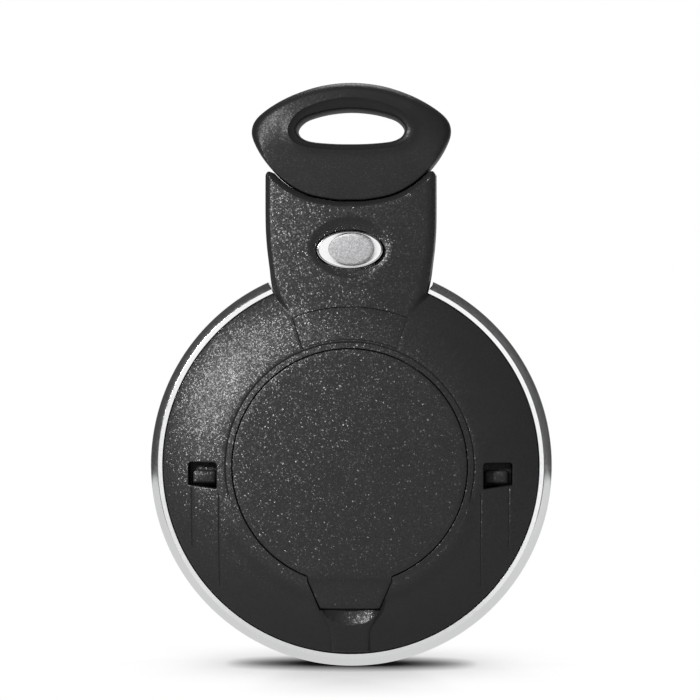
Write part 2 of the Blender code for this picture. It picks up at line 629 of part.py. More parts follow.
def panel_recess():
    """A cutter for the sunk panel between the neck and the battery plateau."""
    top_height = DISC_HEIGHT + sqrt(PANEL_RADIUS ** 2 - PANEL_TOP_HALF_WIDTH ** 2)
    rise = DISC_HEIGHT + PANEL_RADIUS - top_height
    foot_reach = sqrt(STEP_RADIUS ** 2 - PANEL_FOOT_HALF_WIDTH ** 2)
    foot_height = DISC_HEIGHT + foot_reach + PANEL_FOOT_GAP
    top = arc((PANEL_TOP_HALF_WIDTH, top_height), (-PANEL_TOP_HALF_WIDTH, top_height), -rise, PANEL_STEPS)
    foot = arc((-PANEL_FOOT_HALF_WIDTH, foot_height), (PANEL_FOOT_HALF_WIDTH, foot_height),
               STEP_RADIUS - foot_reach, PANEL_STEPS)
    recess = prism("panel_recess", top + foot, LIP_EDGE_DEPTH, PLATEAU_DEPTH + OVERRUN, REAR_VIEW)
    floor = rear_dome(PANEL_SINK)
    core = [(0, floor[0].y), *floor, (LIP_RADIUS, 0), (0, 0)]
    return cut(recess, turned("panel_core", core, REAR_VIEW, closed=False))


def window(side):
    """A cutter for one latch window; its lower edge rises outwards."""
    inner = side * WINDOW_INNER_X
    outer = side * WINDOW_OUTER_X
    corners = [(inner, WINDOW_LOW_HEIGHT), (outer, WINDOW_LOW_HEIGHT + WINDOW_SLANT),
               (outer, WINDOW_TOP_HEIGHT), (inner, WINDOW_TOP_HEIGHT)]
    return prism(f"window_{side}", corners, CARRIER_HALF_THICKNESS, PLATEAU_DEPTH + OVERRUN, REAR_VIEW)


def channel():
    """The raised strip that carries the pry scoop, from the plateau down to the rim."""
    middle_height = (TAB_END_HEIGHT + CHANNEL_FOOT_HEIGHT) / 2
    middle_depth = (TAB_END_DEPTH + CHANNEL_FOOT_DEPTH) / 2
    rows = [
        (CHANNEL_TOP_HEIGHT, TAB_HALF_WIDTH + CASE_WALL / 2, PLATEAU_DEPTH - SEAM_GAP),
        (TAB_SHOULDER_HEIGHT, TAB_HALF_WIDTH + SEAT_GAP, PLATEAU_DEPTH - SEAM_GAP),
        (TAB_END_HEIGHT, TAB_END_HALF_WIDTH + SEAM_GAP, TAB_END_DEPTH),
        (middle_height, CHANNEL_WIDTH / 2 + SEAM_GAP, middle_depth),
        (CHANNEL_FOOT_HEIGHT, CHANNEL_WIDTH / 2, CHANNEL_FOOT_DEPTH),
    ]
    base = CHANNEL_BASE_DEPTH
    sections = [[(-half, y, base), (half, y, base), (half, y, depth), (-half, y, depth)]
                for y, half, depth in rows]
    return loft("channel", sections, REAR_VIEW)


def tab(name, grow, base_depth, lift, thickness=0):
    """The pry tab, or with `grow` the space that it lies in."""
    top = BATTERY_COVER_DEPTH - BATTERY_COVER_EDGE
    rows = [
        (CHANNEL_TOP_HEIGHT, TAB_HALF_WIDTH + grow, top + lift),
        (TAB_SHOULDER_HEIGHT, TAB_HALF_WIDTH + grow, top + lift),
        (TAB_END_HEIGHT - grow, TAB_END_HALF_WIDTH + grow, TAB_END_DEPTH + lift),
    ]
    sections = []
    for y, half, depth in rows:
        low = depth - thickness if thickness and y < TAB_SHOULDER_HEIGHT else base_depth
        sections.append([(-half, y, low), (half, y, low), (half, y, depth), (-half, y, depth)])
    return loft(name, sections, REAR_VIEW)


def rear_cover():
    """The rear half of the casing."""
    profile = [
        (0, PLATEAU_DEPTH), (STEP_RADIUS - STEP_WIDTH, PLATEAU_DEPTH), *rear_dome(0),
        *skirt(CLAMP_RIB_RADIUS - CASE_WALL, CEILING_DEPTH, CLAMP_RIB_RADIUS, CLAMP_RIB_WIDTH,
               CARRIER_HALF_THICKNESS + SEAT_GAP),
        (0, CEILING_DEPTH),
    ]
    opening = [
        (0, CARRIER_HALF_THICKNESS), (LEDGE_RADIUS, CARRIER_HALF_THICKNESS), (LEDGE_RADIUS, LEDGE_DEPTH),
        (BATTERY_OPENING_RADIUS, LEDGE_DEPTH), (BATTERY_OPENING_RADIUS, PLATEAU_DEPTH + OVERRUN),
        (0, PLATEAU_DEPTH + OVERRUN),
    ]
    cover = turned("rear_cover", profile, REAR_VIEW, closed=False)
    join(cover, neck_blank(REAR_VIEW))
    join(cover, channel())
    cut(cover, turned("battery_opening", opening, REAR_VIEW, closed=False))
    cut(cover, tab("tab_space", SEAM_GAP, LEDGE_DEPTH, OVERRUN))
    cut(cover, ball("scoop", (SCOOP_HALF_WIDTH, SCOOP_DROP, SCOOP_SINK), REAR_VIEW,
                    (0, TAB_END_HEIGHT, TAB_END_DEPTH)))
    cut(cover, panel_recess())
    for side in (-1, 1):
        cut(cover, window(side))
    cut(cover, blade_tunnel("tunnel_rear", REAR_VIEW, DISC_HEIGHT))
    cut(cover, mechanism_pocket("pocket_rear", REAR_VIEW, POCKET_REAR_DEPTH))
    aperture = oval(RELEASE_HALF_WIDTH + SEAM_GAP, RELEASE_HALF_HEIGHT + SEAM_GAP)
    cut(cover, prism("release_aperture", aperture, 0, NECK_FACE_DEPTH + OVERRUN, REAR_VIEW,
                     (0, RELEASE_HEIGHT, 0)))
    cut(cover, dish())
    return dress(cover, BLACK_PLASTIC, 0.5)


def mechanism_pocket(name, view, depth):
    """A cutter for the space of the release button's legs and latch bar in one half of the neck."""
    outline = rectangle(POCKET_HALF_WIDTH, POCKET_HALF_HEIGHT, (0, RELEASE_HEIGHT))
    return prism(name, outline, 0, depth, view)


def dish():
    """A cutter for the shallow dish round the release button."""
    height = DISH_CENTRE_LIFT + DISH_SINK
    spread = sqrt(1 - (DISH_CENTRE_LIFT / height) ** 2)
    half_width = RELEASE_HALF_WIDTH + DISH_SIDE_WIDTH
    half_height = RELEASE_HALF_HEIGHT + DISH_TOP_WIDTH
    sizes = (half_width / spread, half_height / spread, height)
    spot = (0, RELEASE_HEIGHT + DISH_RISE, NECK_FACE_DEPTH + DISH_CENTRE_LIFT)
    return ball("dish", sizes, REAR_VIEW, spot)


def hook(side):
    """A latch hook of the front half, which reaches through to its window in the rear half."""
    inner = side * (WINDOW_INNER_X + SEAT_GAP)
    outer = side * (WINDOW_OUTER_X - SEAT_GAP)
    low = WINDOW_LOW_HEIGHT + WINDOW_SLANT + SEAT_GAP
    high = WINDOW_TOP_HEIGHT - SEAT_GAP - HOOK_NOSE_STEP
    levels = [(CAVITY_CORNER_DEPTH + HOOK_ROOT_LENGTH, 0), (-HOOK_REACH_DEPTH + 2 * HOOK_NOSE_LENGTH, 0),
              (-HOOK_REACH_DEPTH + HOOK_NOSE_LENGTH, HOOK_NOSE_STEP), (-HOOK_REACH_DEPTH, 0)]
    sections = []
    for depth, nose in levels:
        top = high + nose
        sections.append(at_depth([(inner, low), (outer, low), (outer, top), (inner, top)], depth))
    return loft(f"hook_{side}", sections, FRONT_VIEW)


def front_cover():
    """The front half of the casing, with the button openings, the badge's seat and the hooks."""
    dome = arc((FRONT_FLAT_RADIUS, FRONT_FACE_DEPTH), (LIP_RADIUS, LIP_EDGE_DEPTH), DOME_RISE, EDGE_STEPS + 1)
    seat_depth = BADGE_DEPTH - BADGE_THICKNESS - SEAT_GAP
    boss_radius = BADGE_RADIUS + SEAM_GAP + BADGE_BOSS_WALL / 2
    profile = [
        (0, seat_depth), (BADGE_RADIUS + SEAM_GAP, seat_depth),
        (BADGE_RADIUS + SEAM_GAP, FRONT_FACE_DEPTH), *dome,
        *skirt(FRONT_FLAT_RADIUS, FRONT_CEILING_DEPTH, BOARD_RIB_RADIUS, BOARD_RIB_WIDTH,
               CAVITY_CORNER_DEPTH),
        (boss_radius, FRONT_CEILING_DEPTH), (boss_radius, seat_depth - BADGE_BOSS_WALL),
        (0, seat_depth - BADGE_BOSS_WALL),
    ]
    cover = turned("front_cover", profile, FRONT_VIEW, closed=False)
    join(cover, neck_blank(FRONT_VIEW))
    for side in (-1, 1):
        join(cover, hook(side))
    for name, angle in BUTTON_ANGLES.items():
        opening = inset(button_outline(angle), -SEAM_GAP)
        cut(cover, prism(f"opening_{name}", opening, CEILING_DEPTH, FRONT_FACE_DEPTH + OVERRUN, FRONT_VIEW,
                         spot_under(angle)))
    cut(cover, blade_tunnel("tunnel_front", FRONT_VIEW, DISC_HEIGHT))
    cut(cover, mechanism_pocket("pocket_front", FRONT_VIEW, POCKET_FRONT_DEPTH))
    return dress(cover, BLACK_PLASTIC, 0.45)


def bezel_ring():
    """The bright ring, cut open where the neck passes."""
    land_end = RING_BORE_RADIUS + RING_LAND_WIDTH
    half = [(RING_FLANGE_RADIUS, RING_FLANGE_HALF), (RING_BORE_RADIUS, RING_FLANGE_HALF),
            (RING_BORE_RADIUS, RING_LAND_DEPTH)]
    for i in range(EDGE_STEPS + 1):
        angle = pi / 2 * i / EDGE_STEPS
        half.append((land_end + (RIM_RADIUS - land_end) * sin(angle),
                     RING_BAND_HALF + (RING_LAND_DEPTH - RING_BAND_HALF) * cos(angle)))
    profile = half + [(radius, -depth) for radius, depth in reversed(half)]
    ring = turned("bezel_ring", profile, REAR_VIEW)
    gap = inset(neck_outline(), -SEAT_GAP)
    cut(ring, prism("ring_gap", gap, -RIM_RADIUS, RIM_RADIUS, REAR_VIEW))
    return dress(ring, BRIGHT_METAL, 0.12, 1.0)


# Battery side

def battery_cover():
    """The round lid with its pry tab and the rib that centres it."""
    underside = BATTERY_COVER_FLOOR
    rib_outer = LEDGE_RADIUS - SEAT_GAP
    rib_inner = rib_outer - LOCATING_RIB_WIDTH
    profile = [
        (0, underside), (rib_inner, underside), (rib_inner, underside - LOCATING_RIB_DEPTH),
        (rib_outer, underside - LOCATING_RIB_DEPTH), (rib_outer, underside),
        (BATTERY_COVER_RADIUS, underside),
        (BATTERY_COVER_RADIUS, BATTERY_COVER_DEPTH - BATTERY_COVER_EDGE),
        (BATTERY_COVER_RADIUS - BATTERY_COVER_EDGE, BATTERY_COVER_DEPTH), (0, BATTERY_COVER_DEPTH),
    ]
    lid = turned("battery_cover", profile, REAR_VIEW, closed=False)
    join(lid, tab("tab", 0, underside, 0, TAB_END_THICKNESS))
    return dress(lid, BLACK_PLASTIC, 0.5)


def battery_seal():
    """The flat seal between the battery cover and its ledge."""
    middle = (LEDGE_DEPTH + BATTERY_COVER_FLOOR) / 2
    inner = LEDGE_RADIUS + SEAT_GAP
    low = middle - SEAL_THICKNESS / 2
    high = middle + SEAL_THICKNESS / 2
    profile = [(inner, low), (inner + SEAL_WIDTH, low), (inner + SEAL_WIDTH, high), (inner, high)]
    return dress(turned("battery_seal", profile, REAR_VIEW, SMALL_STEPS), RUBBER, 0.8)


def coin_cell():
    """The cell: a wide can with a narrower cap towards the board."""
    low = CELL_DEPTH - CELL_THICKNESS
    profile = [(0, low), (CELL_RADIUS - CELL_STEP, low), (CELL_RADIUS - CELL_STEP, low + CELL_STEP),
               (CELL_RADIUS, low + CELL_STEP), (CELL_RADIUS, CELL_DEPTH), (0, CELL_DEPTH)]
    return dress(turned("coin_cell", profile, REAR_VIEW, SMALL_STEPS, closed=False), STEEL, 0.3, 1.0)


def cell_contact_face():
    """The strip under the cell, with its leg down to the board."""
    x_start = -FACE_CONTACT_START_X
    x_end = FACE_CONTACT_END_X
    low = CONTACT_DEPTH
    high = low + CONTACT_THICKNESS
    foot = -CARRIER_HALF_THICKNESS
    profile = [(x_start, foot), (x_start, high), (x_end, high), (x_end, low),
               (x_start + CONTACT_THICKNESS, low), (x_start + CONTACT_THICKNESS, foot)]
    sections = [[(x, FACE_CONTACT_HEIGHT + side * CONTACT_HALF_WIDTH, depth) for x, depth in profile]
                for side in (-1, 1)]
    return dress(loft("cell_contact_face", sections, REAR_VIEW), SPRING_METAL, 0.3, 1.0)


def cell_contact_side():
    """The strip beside the cell's rim, with a foot on the board's rear."""
    x_start = CELL_RADIUS + SEAT_GAP / 2
    x_wall = x_start + CONTACT_THICKNESS
    foot = -CARRIER_HALF_THICKNESS
    profile = [(x_start, foot), (x_wall + SIDE_CONTACT_FOOT, foot),
               (x_wall + SIDE_CONTACT_FOOT, foot + CONTACT_THICKNESS), (x_wall, foot + CONTACT_THICKNESS),
               (x_wall, CELL_WALL_DEPTH), (x_start, CELL_WALL_DEPTH)]
    sections = [[(x, SIDE_CONTACT_HEIGHT + side * CONTACT_HALF_WIDTH, depth) for x, depth in profile]
                for side in (-1, 1)]
    return dress(loft("cell_contact_side", sections, REAR_VIEW), SPRING_METAL, 0.3, 1.0)


def inner_carrier():
    """The frame between the halves: a plate with the blade's tunnel and a wall round the cell."""
    wall_inner = CELL_WALL_RADIUS
    wall_outer = wall_inner + CELL_WALL
    top = CARRIER_HALF_THICKNESS
    profile = [(0, -top), (CARRIER_RADIUS, -top), (CARRIER_RADIUS, top), (wall_outer, top),
               (wall_outer, CELL_WALL_DEPTH), (wall_inner, CELL_WALL_DEPTH), (wall_inner, top), (0, top)]
    carrier = turned("inner_carrier", profile, REAR_VIEW, PLATE_STEPS, closed=False)
    half_width = (CARRIER_WINDOW_OUTER_X - CARRIER_WINDOW_INNER_X) / 2
    for side in (-1, 1):
        centre = (side * (CARRIER_WINDOW_INNER_X + half_width), DISC_HEIGHT)
        outline = rectangle(half_width, CARRIER_WINDOW_HALF_HEIGHT, centre)
        cut(carrier, prism(f"carrier_window_{side}", outline, -top - OVERRUN, top + SEAT_GAP, REAR_VIEW))
        cut(carrier, hook_notch(f"carrier_notch_{side}", side))
    cut(carrier, blade_tunnel("tunnel_carrier", REAR_VIEW, BLADE_TIP_HEIGHT - SEAT_GAP))
    slot = rectangle(CELL_WALL, CONTACT_HALF_WIDTH + SEAT_GAP, (wall_inner, SIDE_CONTACT_HEIGHT))
    cut(carrier, prism("contact_slot", slot, top - SEAT_GAP, CELL_WALL_DEPTH + OVERRUN, REAR_VIEW))
    return dress(carrier, INNER_PLASTIC, 0.6)


def hook_notch(name, side):
    """A cutter for the way of one latch hook past a round plate."""
    middle = (WINDOW_LOW_HEIGHT + WINDOW_TOP_HEIGHT) / 2
    half_height = (WINDOW_TOP_HEIGHT - WINDOW_LOW_HEIGHT) / 2 + SEAT_GAP
    outline = rectangle(RIM_RADIUS - NOTCH_INNER_X, half_height, (side * RIM_RADIUS, middle))
    return prism(name, outline, -CELL_DEPTH, CELL_DEPTH, REAR_VIEW)


# Front side

def button_outline(angle):
    """A rounded rectangle bent round the disc's centre, about the spot under the button."""
    middle = BUTTON_MIDDLE_RADIUS
    half_width = middle * BUTTON_HALF_ANGLE
    flat = rounded(rectangle(half_width, middle - BUTTON_INNER_RADIUS), BUTTON_CORNER, CORNER_STEPS)
    flat = divided(flat, half_width / SECTOR_STEPS)
    centre = middle * Vector((cos(angle), sin(angle)))
    return [Matrix.Rotation(angle - x / middle, 2) @ Vector((middle + y, 0)) - centre for x, y in flat]


def front_button(name, angle):
    """One push button with the flange that keeps it in its opening."""
    outline = button_outline(angle)
    flange = inset(outline, -BUTTON_FLANGE_WIDTH)
    sections = [at_depth(flange, BUTTON_FOOT_DEPTH), at_depth(flange, BUTTON_FLANGE_DEPTH),
                at_depth(outline, BUTTON_FLANGE_DEPTH),
                *rounded_edge(outline, BUTTON_DEPTH, BUTTON_EDGE, BUTTON_EDGE, BUTTON_EDGE_STEPS)]
    return dress(loft(f"button_{name}", sections, FRONT_VIEW, spot_under(angle)), RUBBER, 0.6)


def centre_badge():
    """The blank round plate in the middle of the front."""
    low = BADGE_DEPTH - BADGE_THICKNESS
    profile = [(0, low), (BADGE_RADIUS, low), (BADGE_RADIUS, BADGE_DEPTH - BADGE_EDGE),
               (BADGE_RADIUS - BADGE_EDGE, BADGE_DEPTH), (0, BADGE_DEPTH)]
    badge = turned("centre_badge", profile, FRONT_VIEW, PLATE_STEPS, closed=False)
    return dress(badge, BRIGHT_METAL, 0.25, 1.0)


def spot_under(angle):
    """The place under the middle of a front button, on the front view."""
    return BUTTON_MIDDLE_RADIUS * cos(angle), DISC_HEIGHT + BUTTON_MIDDLE_RADIUS * sin(angle), 0


def circuit_board():
    """The round board, notched for the hooks."""
    profile = [(0, -BOARD_TOP_DEPTH), (BOARD_RADIUS, -BOARD_TOP_DEPTH),
               (BOARD_RADIUS, -BOARD_DEPTH), (0, -BOARD_DEPTH)]
    board = turned("circuit_board", profile, REAR_VIEW, PLATE_STEPS, closed=False)
    for side in (-1, 1):
        cut(board, hook_notch(f"board_notch_{side}", side))
    return dress(board, BOARD_GREEN, 0.4)


def push_switch(name, angle):
    """A small push switch on the board under one button."""
    top = SWITCH_TOP_DEPTH
    outline = rectangle(SWITCH_HALF_WIDTH, SWITCH_HALF_WIDTH)
    body = prism(f"switch_{name}", outline, top - SWITCH_THICKNESS, top, FRONT_VIEW, spot_under(angle))
    plunger = prism(f"plunger_{name}", oval(PLUNGER_RADIUS, PLUNGER_RADIUS, NUB_STEPS),
                    top - SOLDER_GAP, top + PLUNGER_HEIGHT, FRONT_VIEW, spot_under(angle))
    return dress(join(body, plunger), STEEL, 0.35, 1.0)


def button_pad():
    """The rubber mat between the switches and the buttons, with a nub under each button."""
    low = PAD_DEPTH
    top = PAD_TOP_DEPTH
    profile = [(0, low), (PAD_RADIUS, low), (PAD_RADIUS, top), (0, top)]
    pad = turned("button_pad", profile, FRONT_VIEW, PLATE_STEPS, closed=False)
    nub = oval(NUB_RADIUS, NUB_RADIUS, NUB_STEPS)
    for name, angle in BUTTON_ANGLES.items():
        join(pad, prism(f"nub_{name}", nub, (low + top) / 2, top + NUB_HEIGHT, FRONT_VIEW, spot_under(angle)))
    for side in (-1, 1):
        cut(pad, hook_notch(f"pad_notch_{side}", side))
    return dress(pad, RUBBER, 0.85)


def antenna_coil():
    """The antenna's coil body, seated in the carrier's left window against the board."""
    low = -CARRIER_HALF_THICKNESS
    outline = rounded(rectangle(COIL_HALF_WIDTH, COIL_HALF_HEIGHT), COIL_CORNER, CORNER_STEPS)
    coil = prism("antenna_coil", outline, low, low + COIL_THICKNESS, REAR_VIEW, (-COIL_X, COIL_HEIGHT, 0))
    return dress(coil, COIL_BROWN, 0.5)


def transponder():
    """The transponder chip, seated in the carrier's right window against the board."""
    low = -CARRIER_HALF_THICKNESS
    outline = rounded(rectangle(CHIP_HALF_WIDTH, CHIP_HALF_HEIGHT), CHIP_CORNER, CORNER_STEPS)
    chip = prism("transponder", outline, low, low + CHIP_THICKNESS, REAR_VIEW, (CHIP_X, CHIP_HEIGHT, 0))
    return dress(chip, RUBBER, 0.4)


# Emergency key

def two_part_outline(half_width, wide_height, rise, drop, top_shares, foot_shares):
    """A closed outline, symmetric in x, from shares of its half width, rise and drop."""
    foot = [(half_width * x, wide_height - drop * y) for x, y in foot_shares]
    top = [(half_width * x, wide_height + rise * y) for x, y in top_shares]
    start = (0, wide_height - drop)
    guides = [(-foot[0][0], foot[0][1]), start, *foot, *top, (-top[-2][0], top[-2][1])]
    curve = smooth(guides, HEAD_STEPS)[HEAD_STEPS:-HEAD_STEPS]
    return mirrored(curve)


def head_outline():
    """The outline of the emergency key's head."""
    return two_part_outline(HEAD_HALF_WIDTH, HEAD_WIDE_HEIGHT, HEAD_RISE, HEAD_DROP, HEAD_TOP_SHARES,
                            HEAD_FOOT_SHARES)


def key_head():
    """The moulded head of the emergency key, with the key-ring loop and the blade's pocket."""
    outline = head_outline()
    front_half = rounded_edge(outline, HEAD_HALF_THICKNESS, HEAD_EDGE_INSET, HEAD_EDGE_DROP)
    back_half = [[(x, y, -z) for x, y, z in section] for section in reversed(front_half)]
    head = loft("key_head", back_half + front_half, REAR_VIEW)
    loop = two_part_outline(LOOP_HALF_WIDTH, LOOP_WIDE_HEIGHT, LOOP_RISE, LOOP_DROP, LOOP_TOP_SHARES,
                            LOOP_FOOT_SHARES)
    face = HEAD_HALF_THICKNESS
    rim = face - LOOP_RIM_DEPTH
    levels = [(-face - OVERRUN, LOOP_RIM_FLARE), (-face, LOOP_RIM_FLARE), (-rim, LOOP_FLARE), (0, 0),
              (rim, LOOP_FLARE), (face, LOOP_RIM_FLARE), (face + OVERRUN, LOOP_RIM_FLARE)]
    cut(head, loft("loop", [at_depth(inset(loop, -flare), depth) for depth, flare in levels], REAR_VIEW))
    low = HEAD_WIDE_HEIGHT - HEAD_DROP - OVERRUN
    high = BLADE_TOP_HEIGHT + SEAT_GAP
    pocket = rectangle(TUNNEL_HALF_WIDTH, (high - low) / 2, (0, (high + low) / 2))
    cut(head, prism("blade_pocket", pocket, -TUNNEL_HALF_DEPTH, TUNNEL_HALF_DEPTH, REAR_VIEW))
    return dress(head, BLACK_PLASTIC, 0.45)


def key_blade():
    """The uncut blade, with the latch groove on its front and a keyway on its rear."""
    shoulder = BLADE_TIP_HEIGHT + BLADE_TIP_LENGTH
    half = [(BLADE_TIP_HALF_WIDTH, BLADE_TIP_HEIGHT), (BLADE_HALF_WIDTH, shoulder),
            (BLADE_HALF_WIDTH, BLADE_TOP_HEIGHT)]
    blade = prism("key_blade", mirrored(half), -BLADE_HALF_THICKNESS, BLADE_HALF_THICKNESS, REAR_VIEW)
    groove_top = RELEASE_HEIGHT + TOOTH_HALF_HEIGHT + GROOVE_STOP_GAP
    groove_foot = BLADE_TIP_HEIGHT - OVERRUN
    groove = rectangle(GROOVE_HALF_WIDTH, (groove_top - groove_foot) / 2, (0, (groove_top + groove_foot) / 2))
    cut(blade, prism("latch_groove", groove, -BLADE_HALF_THICKNESS - OVERRUN,
                     GROOVE_SINK - BLADE_HALF_THICKNESS, REAR_VIEW))
    middle = shoulder + SEAT_GAP + KEYWAY_LENGTH / 2
    keyway = rounded(rectangle(KEYWAY_HALF_WIDTH, KEYWAY_LENGTH / 2, (0, middle)),
                     KEYWAY_HALF_WIDTH - SOLDER_GAP, CORNER_STEPS)
    cut(blade, prism("keyway", keyway, BLADE_HALF_THICKNESS - KEYWAY_SINK, BLADE_HALF_THICKNESS + OVERRUN,
                     REAR_VIEW))
    return dress(blade, STEEL, 0.3, 1.0)


# Release button

def release_button():
    """The moulding under the oval rim: plug, flange and the two legs that straddle the blade."""
    spot = (0, RELEASE_HEIGHT, 0)
    flange_low = RELEASE_FLANGE_DEPTH - RELEASE_FLANGE_THICKNESS
    plug_top = RELEASE_DEPTH - RELEASE_RIM_THICKNESS - SOLDER_GAP
    leg_half_width = (LEG_THICKNESS - SOLDER_GAP) / 2
    leg_x = LEG_INNER_X + leg_half_width
    flange = rectangle(LEG_OUTER_X, LEG_HALF_HEIGHT)
    body = prism("release_button", flange, flange_low, RELEASE_FLANGE_DEPTH, REAR_VIEW, spot)
    plug = oval(RELEASE_HALF_WIDTH - SOLDER_GAP, RELEASE_HALF_HEIGHT - SOLDER_GAP)
    join(body, prism("plug", plug, flange_low + SOLDER_GAP, plug_top, REAR_VIEW, spot))
    for side in (-1, 1):
        leg = rectangle(leg_half_width, LEG_HALF_HEIGHT - SOLDER_GAP, (side * leg_x, 0))
        join(body, prism(f"leg_{side}", leg, LEG_FOOT_DEPTH, flange_low + SEAT_GAP, REAR_VIEW, spot))
    return dress(body, INNER_PLASTIC, 0.5)


def release_bezel():
    """The polished oval rim, with the recess that holds the inlay."""
    spot = (0, RELEASE_HEIGHT, 0)
    outline = oval(RELEASE_HALF_WIDTH, RELEASE_HALF_HEIGHT)
    low = RELEASE_DEPTH - RELEASE_RIM_THICKNESS
    sections = [at_depth(outline, low),
                *rounded_edge(outline, RELEASE_DEPTH, RELEASE_RIM_EDGE, RELEASE_RIM_EDGE)]
    rim = loft("release_bezel", sections, REAR_VIEW, spot)
    recess = oval(INLAY_HALF_WIDTH + SOLDER_GAP, INLAY_HALF_HEIGHT + SOLDER_GAP)
    floor = RELEASE_DEPTH - INLAY_SINK - INLAY_THICKNESS
    cut(rim, prism("inlay_recess", recess, floor, RELEASE_DEPTH + OVERRUN, REAR_VIEW, spot))
    return dress(rim, BRIGHT_METAL, 0.15, 1.0)


def release_inlay():
    """The brushed plate in the oval rim."""
    low = RELEASE_DEPTH - INLAY_SINK - INLAY_THICKNESS + SOLDER_GAP
    outline = oval(INLAY_HALF_WIDTH, INLAY_HALF_HEIGHT)
    plate = prism("release_inlay", outline, low, low + INLAY_THICKNESS, REAR_VIEW, (0, RELEASE_HEIGHT, 0))
    return dress(plate, BRUSHED_METAL, 0.35, 1.0)


def latch_bar():
    """The bar across the ends of the legs, with the tooth in the blade's groove."""
    spot = (0, RELEASE_HEIGHT, 0)
    outline = rectangle(LEG_OUTER_X, LATCH_BAR_HALF_HEIGHT)
    bar = prism("latch_bar", outline, LATCH_REAR_DEPTH, LATCH_FRONT_DEPTH, FRONT_VIEW, spot)
    tooth = rectangle(TOOTH_HALF_WIDTH, TOOTH_HALF_HEIGHT)
    tip = BLADE_HALF_THICKNESS - GROOVE_SINK + SEAT_GAP
    join(bar, prism("tooth", tooth, tip, LATCH_REAR_DEPTH + SOLDER_GAP, FRONT_VIEW, spot))
    return dress(bar, STEEL, 0.4, 1.0)


def release_spring():
    """The conical spring between the latch bar and the front half of the neck."""
    top = LATCH_FRONT_DEPTH + SOLDER_GAP + SPRING_WIRE_RADIUS
    foot = POCKET_FRONT_DEPTH - SOLDER_GAP - SPRING_WIRE_RADIUS
    curve = bpy.data.curves.new("release_spring", "CURVE")
    curve.dimensions = "3D"
    curve.bevel_depth = SPRING_WIRE_RADIUS
    curve.bevel_resolution = 1
    curve.use_fill_caps = True
    wire = curve.splines.new("POLY")
    count = round(SPRING_TURNS * SPRING_TURN_POINTS) + 1
    wire.points.add(count - 1)
    for i, point in enumerate(wire.points):
        share = i / (count - 1)
        turn = tau * SPRING_TURNS * share
        radius = SPRING_FOOT_RADIUS + (SPRING_TOP_RADIUS - SPRING_FOOT_RADIUS) * share
        point.co = (radius * cos(turn), radius * sin(turn), foot + (top - foot) * share, 1)
    spring = bpy.data.objects.new("release_spring", curve)
    bpy.context.scene.collection.objects.link(spring)
    spring.parent = bpy.data.objects[FRONT_VIEW]
    spring.location = (0, RELEASE_HEIGHT, 0)
    return dress(spring, STEEL, 0.3, 1.0)


def drawing_plane(name, turn):
    """An empty that stands one face's drawing upright."""
    plane = bpy.data.objects.new(name, None)
    plane.rotation_euler = (pi / 2, 0, turn)
    bpy.context.scene.collection.objects.link(plane)
    return plane


def main():
    for old in list(bpy.data.objects):
        bpy.data.objects.remove(old, do_unlink=True)
    drawing_plane(REAR_VIEW, 0)
    drawing_plane(FRONT_VIEW, pi)
    bpy.context.view_layer.update()
    rear_cover()
    front_cover()
    bezel_ring()
    battery_cover()
    battery_seal()
    coin_cell()
    cell_contact_face()
    cell_contact_side()
    inner_carrier()
    circuit_board()
    antenna_coil()
    transponder()
    button_pad()
    centre_badge()
    for name, angle in BUTTON_ANGLES.items():
        front_button(name, angle)
        push_switch(name, angle)
    key_head()
    key_blade()
    release_button()
    release_bezel()
    release_inlay()
    latch_bar()
    release_spring()
    bpy.context.view_layer.update()


main()
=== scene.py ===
"""Looks of a round car key shell that stands on its rim, seen from behind.

Drawings are in millimetres as (x, y, depth): y is the height above the floor and depth is the
distance out of the parting plane, towards the viewer of that face.
"""

import logging
from dataclasses import dataclass, field
from enum import Enum
from math import asin, ceil, cos, hypot, pi, radians, sin, sqrt, tau
from typing import Callable, Sequence

import bmesh
import bpy
import numpy as np
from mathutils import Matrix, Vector
from mathutils.geometry import delaunay_2d_cdt
from mathutils.kdtree import KDTree

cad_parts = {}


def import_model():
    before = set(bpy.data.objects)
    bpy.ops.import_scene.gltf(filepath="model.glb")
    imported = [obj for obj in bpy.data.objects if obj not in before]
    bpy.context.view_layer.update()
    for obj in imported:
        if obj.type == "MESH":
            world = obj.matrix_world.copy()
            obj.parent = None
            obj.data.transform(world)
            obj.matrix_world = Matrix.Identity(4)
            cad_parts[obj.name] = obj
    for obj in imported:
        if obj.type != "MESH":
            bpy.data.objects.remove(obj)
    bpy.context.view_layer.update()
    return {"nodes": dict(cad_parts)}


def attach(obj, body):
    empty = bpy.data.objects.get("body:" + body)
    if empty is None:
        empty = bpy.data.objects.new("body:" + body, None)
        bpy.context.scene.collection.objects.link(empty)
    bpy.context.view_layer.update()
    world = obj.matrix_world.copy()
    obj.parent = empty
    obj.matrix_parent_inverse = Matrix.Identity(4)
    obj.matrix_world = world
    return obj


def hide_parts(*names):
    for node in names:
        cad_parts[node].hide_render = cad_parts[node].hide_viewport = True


LOG = logging.getLogger("key_shell")
MM = 0.001
SHARP_ANGLE = radians(32)
CDT_EPSILON = 1e-4
ON_LINE = 1e-3
LEAST_THICKNESS = 0.05
FAR_BELOW, FAR_ABOVE = -9.0, 99.0
MITRE_LIMIT = 0.5
CLEAR_SHARE = 0.55
HALVINGS = 40
CURVE_STEPS = 10
NOISE_SPAN = (0.3, 0.7)

Heights = Callable[[np.ndarray], np.ndarray]
Colour = tuple[float, float, float]
Material = bpy.types.Material
Piece = bpy.types.Object
Socket = bpy.types.NodeSocket


class Face(Enum):
    """The two faces that drawings look at."""

    REAR = 1.0
    FRONT = -1.0

    def world(self, points: np.ndarray) -> np.ndarray:
        """Turns drawing points into points of the frame, in metres."""
        x, y, depth = np.asarray(points, dtype=float).T
        return np.column_stack((self.value * x, -self.value * depth, y)) * MM


